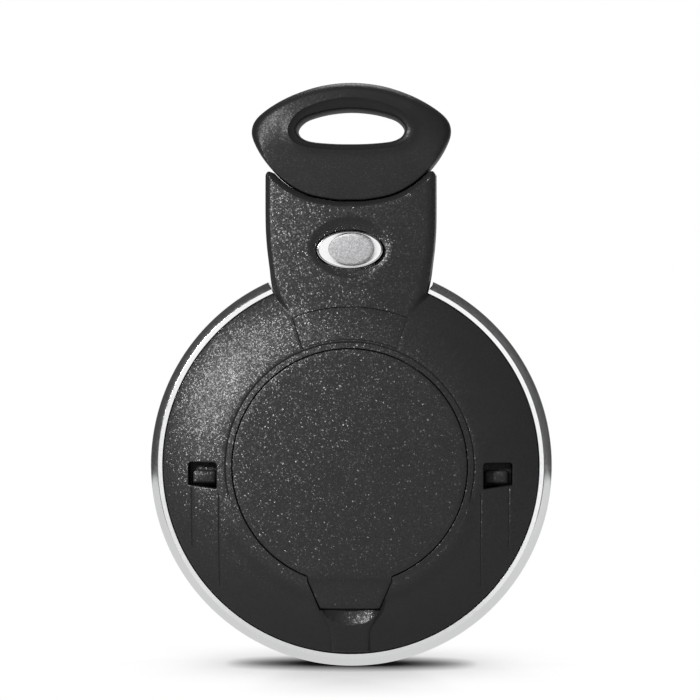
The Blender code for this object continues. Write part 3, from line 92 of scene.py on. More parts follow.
class Body(Enum):
    """The CAD bodies that pieces ride on."""

    SHELL = "shell"
    LID = "battery_lid"
    KEY = "emergency_key"
    RELEASE = "release"
    UNLOCK = "unlock_button"
    LOCK = "lock_button"
    BOOT = "boot_button"


class Slot(Enum):
    """Material slot names that the scene's own pieces are listed with; nothing reads them."""

    CASE = "case_plastic"
    BRIGHT = "bright_metal"
    PLATE = "brushed_plate"
    RUBBER = "rubber"


# Outlines

def densified(points: Sequence, step: float, closed: bool = True) -> np.ndarray:
    """Cuts the stretches of a line into even pieces no longer than a step.

    Args:
        points: The line's corners as (x, y).
        step: The longest piece.
        closed: Whether the line returns to its start.

    Returns:
        The points of the line.
    """
    corners = np.asarray(points, dtype=float)
    ends = np.roll(corners, -1, axis=0) if closed else corners[1:]
    parts = []
    for start, end in zip(corners, ends):
        count = max(1, ceil(hypot(*(end - start)) / step))
        shares = np.arange(count)[:, None] / count
        parts.append(start + (end - start) * shares)
    if not closed:
        parts.append(corners[-1:])
    return np.vstack(parts)


def spline(points: Sequence, steps: int) -> np.ndarray:
    """An open curve through points.

    Args:
        points: The knots as (x, y).
        steps: The stretches between two knots.

    Returns:
        The curve's points.
    """
    knots = np.asarray(points, dtype=float)
    guides = np.vstack((2 * knots[0] - knots[1], knots, 2 * knots[-1] - knots[-2]))
    curve = [knots[0]]
    for before, start, end, after in zip(guides, guides[1:], guides[2:], guides[3:]):
        for i in range(1, steps + 1):
            t = i / steps
            pull = (end - before) * t + (2 * before - 5 * start + 4 * end - after) * t ** 2
            pull += (3 * start - before - 3 * end + after) * t ** 3
            curve.append(start + pull / 2)
    return np.array(curve)


def mirrored(half: np.ndarray) -> np.ndarray:
    """Completes half an outline with its mirror image in x.

    Args:
        half: The half, whose ends on the axis are kept once.

    Returns:
        The whole outline.
    """
    other = half[::-1] * (-1, 1)
    if abs(half[-1][0]) < ON_LINE:
        other = other[1:]
    if abs(half[0][0]) < ON_LINE:
        other = other[:-1]
    return np.vstack((half, other))


def arc(start: Sequence[float], end: Sequence[float], rise: float, steps: int) -> np.ndarray:
    """Points on an arc from start to end.

    Args:
        start: The first point.
        end: The last point.
        rise: How far it bulges to the left of that way.
        steps: The stretches that it is cut into.

    Returns:
        The points.
    """
    start, end = np.asarray(start, dtype=float), np.asarray(end, dtype=float)
    chord = end - start
    length = hypot(*chord)
    left = np.array((-chord[1], chord[0])) / length
    radius = (length ** 2 / 4 + rise * rise) / (2 * rise)
    centre = (start + end) / 2 + left * (rise - radius)
    turn = -2 * asin(max(-1.0, min(1.0, length / 2 / radius)))
    angles = turn * np.arange(steps + 1) / steps
    arm = start - centre
    return centre + np.column_stack((arm[0] * np.cos(angles) - arm[1] * np.sin(angles),
                                     arm[0] * np.sin(angles) + arm[1] * np.cos(angles)))


def polar(centre: Sequence[float], radii: float | np.ndarray, angles: np.ndarray) -> np.ndarray:
    """Points at radii and angles about a centre."""
    return np.column_stack((centre[0] + radii * np.cos(angles), centre[1] + radii * np.sin(angles)))


def ellipse(half_width: float, half_height: float, centre: Sequence[float] = (0, 0),
            steps: int = 96) -> np.ndarray:
    """An ellipse.

    Args:
        half_width: Half its width.
        half_height: Half its height.
        centre: Its middle.
        steps: The number of its points.

    Returns:
        The points, counter-clockwise.
    """
    angles = tau * np.arange(steps) / steps
    return np.column_stack((centre[0] + half_width * np.cos(angles),
                            centre[1] + half_height * np.sin(angles)))


def rounded(corners: Sequence, radii: Sequence[float], steps: int = 5) -> np.ndarray:
    """A polygon with rounded corners.

    Args:
        corners: The corners as (x, y).
        radii: One radius for each corner.
        steps: The stretches of a rounded corner.

    Returns:
        The points.
    """
    outline = []
    count = len(corners)
    for i, radius in enumerate(radii):
        corner = Vector(corners[i])
        back = (Vector(corners[i - 1]) - corner).normalized()
        ahead = (Vector(corners[(i + 1) % count]) - corner).normalized()
        half_angle = back.angle(ahead) / 2
        reach = radius * cos(half_angle) / sin(half_angle)
        rise = radius * (1 - sin(half_angle))
        side = 1 if ahead.cross(back) > 0 else -1
        outline.append(arc(corner + back * reach, corner + ahead * reach, -side * rise, steps))
    return np.vstack(outline)


def inset(loop: np.ndarray, distance: float) -> np.ndarray:
    """Moves a loop inwards.

    Args:
        loop: A counter-clockwise loop.
        distance: How far it moves inwards, or outwards if it is negative.

    Returns:
        The moved loop, with as many points.
    """
    back = loop - np.roll(loop, 1, axis=0)
    ahead = np.roll(loop, -1, axis=0) - loop
    back /= np.linalg.norm(back, axis=1)[:, None]
    ahead /= np.linalg.norm(ahead, axis=1)[:, None]
    normal = np.column_stack((-back[:, 1] - ahead[:, 1], back[:, 0] + ahead[:, 0]))
    normal /= np.linalg.norm(normal, axis=1)[:, None]
    share = normal[:, 0] * -ahead[:, 1] + normal[:, 1] * ahead[:, 0]
    share = np.maximum(share, MITRE_LIMIT)
    return loop + normal * (distance / share)[:, None]


def is_inside(points: np.ndarray, loop: np.ndarray) -> np.ndarray:
    """Whether points are inside a loop.

    Args:
        points: The points to test.
        loop: The loop.

    Returns:
        The answer for each point.
    """
    x, y = points.T
    result = np.zeros(len(points), dtype=bool)
    for (ax, ay), (bx, by) in zip(loop, np.roll(loop, -1, axis=0)):
        if ay != by:
            crosses = (ay > y) != (by > y)
            result ^= crosses & (x < (bx - ax) * (y - ay) / (by - ay) + ax)
    return result


def reach(points: np.ndarray, loop: np.ndarray) -> np.ndarray:
    """How far points are from a loop.

    Args:
        points: The points to measure.
        loop: The loop.

    Returns:
        The distance of each point, positive inside the loop.
    """
    best = np.full(len(points), np.inf)
    for start, end in zip(loop, np.roll(loop, -1, axis=0)):
        way = end - start
        length = way @ way
        if length == 0:
            continue
        share = np.clip((points - start) @ way / length, 0, 1)
        gap = points - start - share[:, None] * way
        best = np.minimum(best, np.einsum("ij,ij->i", gap, gap))
    best = np.sqrt(best)
    return np.where(is_inside(points, loop), best, -best)


def crossing(low: float, high: float, beyond: Callable[[float], bool]) -> float:
    """The number between two others at which a test starts to hold.

    Args:
        low: A number at which it doesn't hold.
        high: A number at which it holds.
        beyond: The test.

    Returns:
        The number, just below the change.
    """
    for _ in range(HALVINGS):
        middle = (low + high) / 2
        low, high = (low, middle) if beyond(middle) else (middle, high)
    return low


# Heights

def rolled(distance: np.ndarray, width: float, drop: float, power: float = 2.0) -> np.ndarray:
    """How far a rounded edge has fallen at a distance inside it.

    Args:
        distance: The distance inside the edge.
        width: How far in the edge reaches.
        drop: How far it falls.
        power: 2 makes a quarter of an ellipse, and a power nearer to 1 a flatter chamfer.

    Returns:
        The fall, from the drop at the edge to 0.
    """
    share = np.clip(1 - distance / width, 0, 1)
    return drop * (1 - (1 - share ** power) ** (1 / power))


def eased(value: np.ndarray, low: float, high: float) -> np.ndarray:
    """A smooth step from 0 at `low` to 1 at `high`."""
    share = np.clip((value - low) / (high - low), 0, 1)
    return share * share * (3 - 2 * share)


def higher(first: np.ndarray, second: np.ndarray, fillet: float) -> np.ndarray:
    """The higher of two heights, with a fillet where they meet."""
    share = np.clip(0.5 + (first - second) / (2 * fillet), 0, 1)
    return second + (first - second) * share + fillet * share * (1 - share)


def bowed(radius: np.ndarray, start: Sequence[float], end: Sequence[float],
          rise: float) -> np.ndarray:
    """The height of an arc round the axis that bulges outwards.

    Args:
        radius: The distances from the axis at which the heights are wanted.
        start: The arc's first (radius, height) point.
        end: Its last one.
        rise: How far it bulges.

    Returns:
        The heights.
    """
    run, fall = end[0] - start[0], end[1] - start[1]
    length = hypot(run, fall)
    bend = (length ** 2 / 4 + rise * rise) / (2 * rise)
    middle_r = (start[0] + end[0]) / 2 - fall / length * (rise - bend)
    middle_h = (start[1] + end[1]) / 2 + run / length * (rise - bend)
    return middle_h + np.sqrt(np.maximum(bend ** 2 - (radius - middle_r) ** 2, 0))


def hollow(left: np.ndarray, top: float, depth: float) -> np.ndarray:
    """The height of an ellipsoid's lower half.

    Args:
        left: What its equation leaves at each point, from 1 in the middle to 0 at its edge.
        top: The height of its edge.
        depth: How deep it is.

    Returns:
        The heights, far above everything outside it.
    """
    return np.where(left > 0, top - depth * np.sqrt(np.maximum(left, 0)), FAR_ABOVE)


# Meshes

def placed(name: str, data: bpy.types.ID) -> Piece:
    """Puts a new object in the scene.

    Args:
        name: The object's name.
        data: Its mesh, lamp or camera.

    Returns:
        The new object.
    """
    thing = bpy.data.objects.new(name, data)
    bpy.context.scene.collection.objects.link(thing)
    return thing


def new_object(name: str, vertices: np.ndarray, faces: Sequence, view: Face,
               recalculate: bool = False) -> Piece:
    """Makes a smooth shaded object from drawing points.

    Args:
        name: The object's name.
        vertices: Points as (x, y, depth) in millimetres.
        faces: Tuples of point numbers.
        view: The face that the drawing looks at.
        recalculate: Whether the faces still have to be turned outwards.

    Returns:
        The new object.
    """
    mesh = bpy.data.meshes.new(name)
    mesh.from_pydata(view.world(vertices).tolist(), [], [tuple(map(int, row)) for row in faces])
    if recalculate:
        work = bmesh.new()
        work.from_mesh(mesh)
        bmesh.ops.recalc_face_normals(work, faces=work.faces)
        work.to_mesh(mesh)
        work.free()
    mesh.shade_smooth()
    mesh.set_sharp_from_angle(angle=SHARP_ANGLE)
    mesh.validate()
    return placed(name, mesh)


@dataclass
class Relief:
    """A closed solid between two heights over one outline.

    Attributes:
        outer: The outline, counter-clockwise.
        top: Gives the height of the face.
        bottom: Gives the height of the underside.
        holes: Loops that go right through.
        loops: Closed lines that the mesh follows.
        lines: Open lines that the mesh follows.
        spacing: The distance between the points that fill the rest.
    """

    outer: np.ndarray
    top: Heights
    bottom: Heights
    holes: list[np.ndarray] = field(default_factory=list)
    loops: list[np.ndarray] = field(default_factory=list)
    lines: list[np.ndarray] = field(default_factory=list)
    spacing: float = 0.5

    def plan(self) -> tuple[np.ndarray, np.ndarray]:
        """Triangulates the outline along all its lines.

        Returns:
            The points, and the triangles as rows of point numbers.
        """
        points, edges, count = [], [], 0
        closed = [(loop, True) for loop in (self.outer, *self.holes, *self.loops)]
        for line, returns in closed + [(line, False) for line in self.lines]:
            numbers = np.arange(len(line)) + count
            edges += zip(numbers, np.roll(numbers, -1) if returns else numbers[1:])
            points.append(line)
            count += len(line)
        fixed = np.vstack(points)
        every = np.vstack((fixed, self.fill_points(fixed)))
        found, _, triangles, *_ = delaunay_2d_cdt(
            [Vector(point) for point in every.tolist()], [(int(a), int(b)) for a, b in edges], [],
            0, CDT_EPSILON, False)
        found = np.array([tuple(point) for point in found])
        triangles = np.array([row for row in triangles if len(row) == 3])
        middles = found[triangles].mean(axis=1)
        keep = is_inside(middles, self.outer)
        for hole in self.holes:
            keep &= ~is_inside(middles, hole)
        return found, triangles[keep]

    def fill_points(self, fixed: np.ndarray) -> np.ndarray:
        """A triangular grid of points inside the outline that keeps clear of its lines.

        Args:
            fixed: The points of the lines.

        Returns:
            The grid's points.
        """
        step, row = self.spacing, self.spacing * sqrt(3) / 2
        low, high = self.outer.min(axis=0), self.outer.max(axis=0)
        rows = np.arange(low[1], high[1], row)
        grid = np.vstack([
            np.column_stack((np.arange(low[0] + (i % 2) * step / 2, high[0], step),) * 2)
            * (1, 0) + (0, y) for i, y in enumerate(rows)])
        grid = grid[is_inside(grid, self.outer)]
        tree = KDTree(len(fixed))
        for i, (x, y) in enumerate(fixed.tolist()):
            tree.insert((x, y, 0), i)
        tree.balance()
        clear = [tree.find((x, y, 0))[2] > CLEAR_SHARE * step for x, y in grid.tolist()]
        return grid[np.array(clear)]

    def build(self, name: str, view: Face) -> Piece:
        """Makes the solid as an object.

        Args:
            name: The object's name.
            view: The face that the drawing looks at.

        Returns:
            The new object.
        """
        points, triangles = self.plan()
        used, compact = np.unique(triangles, return_inverse=True)
        points, triangles = points[used], compact.reshape(triangles.shape)
        a, b, c = (points[triangles[:, i]] for i in range(3))
        area = (b[:, 0] - a[:, 0]) * (c[:, 1] - a[:, 1]) - (b[:, 1] - a[:, 1]) * (c[:, 0] - a[:, 0])
        triangles[area < 0] = triangles[area < 0][:, ::-1]
        count = len(points)
        directed = {(int(row[i]), int(row[(i + 1) % 3])) for row in triangles for i in range(3)}
        rim = [(start, end) for start, end in directed if (end, start) not in directed]
        faces = triangles.tolist() + (triangles[:, ::-1] + count).tolist()
        faces += [(end, start, start + count, end + count) for start, end in sorted(rim)]
        top = self.top(points)
        bottom = np.minimum(self.bottom(points), top - LEAST_THICKNESS)
        vertices = np.vstack((np.column_stack((points, top)), np.column_stack((points, bottom))))
        return new_object(name, vertices, faces, view)


def loft(name: str, sections: Sequence[np.ndarray], view: Face) -> Piece:
    """A solid through rings of points that match one by one.

    Args:
        name: The object's name.
        sections: Rings of (x, y, depth) points; a face closes the first one and the last one.
        view: The face that the drawing looks at.

    Returns:
        The new object.
    """
    size, last = len(sections[0]), len(sections[0]) * (len(sections) - 1)
    faces = [(low + i, low + (i + 1) % size, low + size + (i + 1) % size, low + size + i)
             for low in range(0, last, size) for i in range(size)]
    faces += [tuple(range(size))[::-1], tuple(range(last, last + size))]
    return new_object(name, np.vstack(sections), faces, view, recalculate=True)


def turned(name: str, profile: Sequence[Sequence[float]], view: Face,
           centre: Sequence[float], steps: int = 160) -> Piece:
    """A solid turned about an axis.

    Args:
        name: The object's name.
        profile: A closed profile of (radius, depth) points; a radius of 0 is the axis.
        view: The face that the drawing looks at.
        centre: Where the axis is.
        steps: The number of points round it.

    Returns:
        The new object.
    """
    rings, vertices, count = [], [], 0
    angles = tau * np.arange(steps) / steps
    for radius, depth in profile:
        points = polar(centre, radius, angles) if radius else np.array([centre])
        vertices.append(at_depth(points, depth))
        rings.append(list(range(count, count + steps)) if radius else [count] * steps)
        count += len(points)
    faces = []
    for low, high in zip(rings, rings[1:] + rings[:1]):
        if low[0] != low[1] or high[0] != high[1]:
            faces += [tuple(dict.fromkeys((low[i - 1], low[i], high[i], high[i - 1])))
                      for i in [*range(1, steps), 0]]
    return new_object(name, np.vstack(vertices), faces, view, recalculate=True)


def at_depth(loop: np.ndarray, depth: float) -> np.ndarray:
    """The loop's points at one depth."""
    return np.column_stack((loop, np.full(len(loop), depth)))


def soften(piece: Piece, width: float, angle: float = radians(40)) -> None:
    """Adds a bevel modifier to a piece's sharp edges.

    Args:
        piece: The piece.
        width: The bevel's width in millimetres.
        angle: The angle from which an edge is sharp.
    """
    bevel = piece.modifiers.new("soft_edges", "BEVEL")
    bevel.width, bevel.segments = width * MM, 2
    bevel.limit_method, bevel.angle_limit = "ANGLE", angle


# Finishes

@dataclass
class Nodes:
    """A node tree under construction, with short calls to add and link its nodes."""

    tree: bpy.types.NodeTree

    def fill(self, node: bpy.types.Node, **values: object) -> bpy.types.Node:
        """Sets a node's settings and inputs, or links its inputs.

        Args:
            node: The node.
            **values: Values and sockets by name, with underscores for spaces.

        Returns:
            The node.
        """
        for key, value in values.items():
            socket = key.replace("_", " ")
            if isinstance(value, Socket):
                self.tree.links.new(value, node.inputs[socket])
            elif hasattr(node, key):
                setattr(node, key, value)
            else:
                node.inputs[socket].default_value = value
        return node

    def feed(self, node: bpy.types.Node, *values: object) -> bpy.types.Node:
        """Sets or links a node's first inputs in order.

        Args:
            node: The node.
            *values: The values and sockets.

        Returns:
            The node.
        """
        for value, socket in zip(values, node.inputs):
            if isinstance(value, Socket):
                self.tree.links.new(value, socket)
            else:
                socket.default_value = value
        return node

    def add(self, kind: str, **values: object) -> bpy.types.Node:
        """Adds a shader node and fills it."""
        return self.fill(self.tree.nodes.new(f"ShaderNode{kind}"), **values)

    def vector(self, operation: str, *values: object, output: str = "Vector") -> Socket:
        """The result of a vector operation on sockets and plain values."""
        return self.feed(self.add("VectorMath", operation=operation), *values).outputs[output]

    def blend(self, factor: Socket, first: Socket, second: Socket) -> Socket:
        """The first shader where the factor is 0 and the second where it is 1."""
        return self.feed(self.add("MixShader"), factor, first, second).outputs[0]

    def spread(self, value: Socket, low: float, high: float, start: float = 0.0,
               end: float = 1.0) -> Socket:
        """Maps a value to another range and keeps it there.

        Args:
            value: The value.
            low: Its low end.
            high: Its high end.
            start: The result at the low end.
            end: The result at the high end.

        Returns:
            The result.
        """
        node = self.add("MapRange", Value=value, From_Min=low, From_Max=high, To_Min=start,
                        To_Max=end)
        return node.outputs["Result"]

    def ramp(self, factor: Socket, *stops: tuple[float, float | Colour]) -> Socket:
        """A colour that changes from stop to stop.

        Args:
            factor: What it follows.
            *stops: Places with their colours; a lone number is a grey.

        Returns:
            The colour.
        """
        node = self.add("ValToRGB", Fac=factor)
        elements = node.color_ramp.elements
        for _ in stops[2:]:
            elements.new(0.5)
        for element, (place, colour) in zip(elements, stops):
            element.position = place
            element.color = (*np.broadcast_to(colour, 3).tolist(), 1)
        return node.outputs["Color"]


class Shader(Nodes):
    """The node tree of a new material, with the patterns that finishes are made of."""

    def __init__(self, name: str) -> None:
        """Makes the material and keeps its main shader.

        Args:
            name: The material's name.
        """
        self.material = bpy.data.materials.new(name)
        self.material.use_nodes = True
        super().__init__(self.material.node_tree)
        self.main = self.tree.nodes["Principled BSDF"]

    def set(self, **values: object) -> None:
        """Sets or links inputs of the main shader."""
        self.fill(self.main, **values)

    def place(self, stretch: Sequence[float] = (1, 1, 1),
              turn: Sequence[float] = (0, 0, 0)) -> Socket:
        """Object coordinates, stretched along the axes and turned."""
        spot = self.add("TexCoord").outputs["Object"]
        return self.add("Mapping", Vector=spot, Scale=stretch, Rotation=turn).outputs["Vector"]

    def noise(self, size: float, detail: float = 3.0, roughness: float = 0.5,
              stretch: Sequence[float] = (1, 1, 1)) -> Socket:
        """A noise pattern.

        Args:
            size: The size of its grain in millimetres.
            detail: How many finer layers it has.
            roughness: How strong these are.
            stretch: Its scale along the axes.

        Returns:
            The pattern's value.
        """
        node = self.add("TexNoise", Vector=self.place(stretch), Scale=1 / (size * MM),
                        Detail=detail, Roughness=roughness)
        return node.outputs["Fac"]

    def facets(self, size: float, lean: float) -> Socket:
        """The surface's normal, which leans at random from one small facet to the next.

        Args:
            size: The size of a facet in millimetres.
            lean: The steepest slope of a facet; smaller slopes are more common.

        Returns:
            The normal.
        """
        cells = self.add("TexVoronoi", Vector=self.place(), Scale=1 / (size * MM))
        second = self.add("TexWhiteNoise", Vector=cells.outputs["Position"])
        both = self.vector("ADD", cells.outputs["Color"], second.outputs["Color"])
        slope = self.vector("MULTIPLY_ADD", both, (lean,) * 3, (-lean,) * 3)
        normal = self.add("NewGeometry").outputs["Normal"]
        return self.vector("NORMALIZE", self.vector("ADD", slope, normal))

    def bump(self, height: Socket, depth: float, strength: float = 1.0) -> None:
        """Lets a height of a depth in millimetres tilt the main shader's normals."""
        node = self.add("Bump", Height=height, Strength=strength, Distance=depth * MM)
        self.set(Normal=node.outputs["Normal"])


def toned(colour: Colour, share: float) -> Colour:
    """The colour made darker or lighter."""
    return tuple(min(1.0, share * part) for part in colour)


@dataclass(frozen=True)
class GrainedPlastic:
    """Black plastic with a spark-eroded grain, whose small facets glint.

    Attributes:
        name: The material's name.
        dark: The colour in the pits.
        light: The colour of the raised grain.
        facet: The size of the facets.
        lean: The steepest slope of a facet.
        glint: The share of the facets in the reflection.
        polish: The roughness of a facet.
        depth: How deep the grain is.
    """

    name: str
    dark: float = 0.0049
    light: float = 0.0073
    facet: float = 0.13
    lean: float = 0.285
    glint: float = 0.3
    polish: float = 0.34
    depth: float = 0.008

    def material(self) -> Material:
        """Builds the material.

        Returns:
            The new material.
        """
        shader = Shader(self.name)
        grain, wear = shader.noise(self.facet * 1.3, roughness=0.6), shader.noise(3.5)
        shader.bump(grain, self.depth)
        shine = shader.spread(wear, *NOISE_SPAN, self.polish - 0.02, self.polish + 0.03)
        shader.set(Base_Color=shader.ramp(grain, (0.35, self.dark), (0.7, self.light)),
                   Roughness=shader.spread(wear, *NOISE_SPAN, 0.45, 0.55),
                   Specular_IOR_Level=0.06, Coat_Weight=self.glint, Coat_IOR=1.5,
                   Coat_Roughness=shine, Coat_Normal=shader.facets(self.facet, self.lean))
        return shader.material


@dataclass(frozen=True)
class PolishedMetal:
    """Bright plated metal."""

    name: str
    colour: Colour = (0.94, 0.945, 0.95)
    roughness: float = 0.13

    def material(self) -> Material:
        """Builds the material.

        Returns:
            The new material.
        """
        shader = Shader(self.name)
        marks = shader.noise(0.6, 4.0, 0.6)
        tone = shader.ramp(shader.noise(6.0), (0.3, toned(self.colour, 0.96)), (0.75, self.colour))
        rough = shader.spread(marks, *NOISE_SPAN, self.roughness - 0.03, self.roughness + 0.05)
        shader.set(Metallic=1.0, Base_Color=tone, Roughness=rough)
        shader.bump(marks, 0.002, 0.5)
        return shader.material


@dataclass(frozen=True)
class BrushedMetal:
    """Metal with fine lines along one axis.

    Attributes:
        name: The material's name.
        colour: The middle colour.
        stretch: The scale of the lines along x, y and z; a small one runs along that axis.
        line: The width of a line.
        roughness: The middle of the roughness.
    """

    name: str
    colour: Colour = (0.60, 0.60, 0.61)
    stretch: tuple[float, float, float] = (0.06, 1, 1)
    line: float = 0.10
    roughness: float = 0.34

    def material(self) -> Material:
        """Builds the material.

        Returns:
            The new material.
        """
        shader = Shader(self.name)
        lines = shader.noise(self.line, 3.0, 0.6, self.stretch)
        tone = shader.ramp(lines, (0.3, toned(self.colour, 0.82)), (0.7, toned(self.colour, 1.12)))
        rough = shader.spread(lines, *NOISE_SPAN, self.roughness - 0.08, self.roughness + 0.08)
        shader.set(Metallic=1.0, Anisotropic=0.35, Base_Color=tone, Roughness=rough)
        shader.bump(lines, 0.006, 0.6)
        return shader.material


@dataclass(frozen=True)
class SoftPart:
    """A matt moulding: rubber, a seal or a potted part."""

    name: str
    colour: Colour = (0.02, 0.02, 0.021)
    roughness: float = 0.7
    grain: float = 0.12
    depth: float = 0.012

    def material(self) -> Material:
        """Builds the material.

        Returns:
            The new material.
        """
        shader = Shader(self.name)
        fine = shader.noise(self.grain)
        tone = shader.ramp(shader.noise(2.5), (0.3, toned(self.colour, 0.85)),
                           (0.7, toned(self.colour, 1.15)))
        rough = shader.spread(fine, *NOISE_SPAN, self.roughness - 0.06, self.roughness + 0.06)
        shader.set(Base_Color=tone, Roughness=rough)
        shader.bump(fine, self.depth)
        return shader.material


@dataclass(frozen=True)
class BoardLacquer:
    """Green lacquer over copper tracks."""

    name: str = "board_lacquer"
    lacquer: Colour = (0.012, 0.085, 0.032)
    track: Colour = (0.03, 0.16, 0.06)
    track_step: float = 2.4

    def material(self) -> Material:
        """Builds the material.

        Returns:
            The new material.
        """
        shader = Shader(self.name)
        tracks = shader.add("TexBrick", Vector=shader.place(turn=(pi / 2, 0, 0)),
                            Scale=1 / (self.track_step * MM), Color1=(*self.lacquer, 1),
                            Color2=(*toned(self.lacquer, 0.85), 1), Mortar=(*self.track, 1),
                            Mortar_Size=0.05)
        shader.set(Roughness=0.32, Coat_Weight=0.4, Base_Color=tracks.outputs["Color"])
        shader.bump(tracks.outputs["Fac"], 0.02)
        return shader.material


Finish = GrainedPlastic | PolishedMetal | BrushedMetal | SoftPart | BoardLacquer


def built(kind: Finish) -> Material:
    """A field that holds the finish's material, made with its class."""
    return field(default_factory=kind.material)


@dataclass(frozen=True)
class Finishes:
    """Every finish of the object, built once."""

    case: Material = built(GrainedPlastic("case_plastic"))
    head: Material = built(GrainedPlastic("head_plastic", 0.0048, 0.0062, lean=0.16, glint=0.115))
    inner: Material = built(GrainedPlastic("inner_plastic", 0.014, 0.024, 0.2, 0.3, 0.25, 0.4))
    chrome: Material = built(PolishedMetal("bright_plating"))
    satin: Material = built(BrushedMetal("satin_plate", (0.25, 0.25, 0.255), (1, 1, 1), 0.15,
                                         0.42))
    badge: Material = built(BrushedMetal("badge_plate", (0.62, 0.62, 0.63), (1, 1, 0.06)))
    steel: Material = built(BrushedMetal("milled_steel", (0.56, 0.57, 0.58), (1, 1, 0.08), 0.14,
                                         0.3))
    brass: Material = built(PolishedMetal("contact_brass", (0.78, 0.66, 0.42), 0.22))
    rubber: Material = built(SoftPart("mat_rubber"))
    button: Material = built(SoftPart("button_rubber", (0.021, 0.021, 0.022), 0.55, 0.1, 0.01))
    board: Material = built(BoardLacquer())
    coil: Material = built(SoftPart("coil_potting", (0.10, 0.045, 0.02), 0.45, 0.3, 0.03))
    chip: Material = built(SoftPart("chip_potting", (0.03, 0.03, 0.032), 0.4, 0.2, 0.01))


def finish(piece: Piece, material: Material, body: Body, slot: Slot, *nodes: str) -> None:
    """Dresses a piece, rides it on its body and lets it stand for CAD nodes.

    Args:
        piece: The piece, in place.
        material: Its finish.
        body: The body that it moves with.
        slot: A material slot name; not used.
        nodes: The CAD nodes that it replaces.
    """
    piece.data.materials.clear()
    piece.data.materials.append(material)
    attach(piece, body.value)
    if nodes:
        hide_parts(*nodes)
    LOG.info("%s on %s: %d faces", piece.name, body.value, len(piece.data.polygons))


# Emergency key

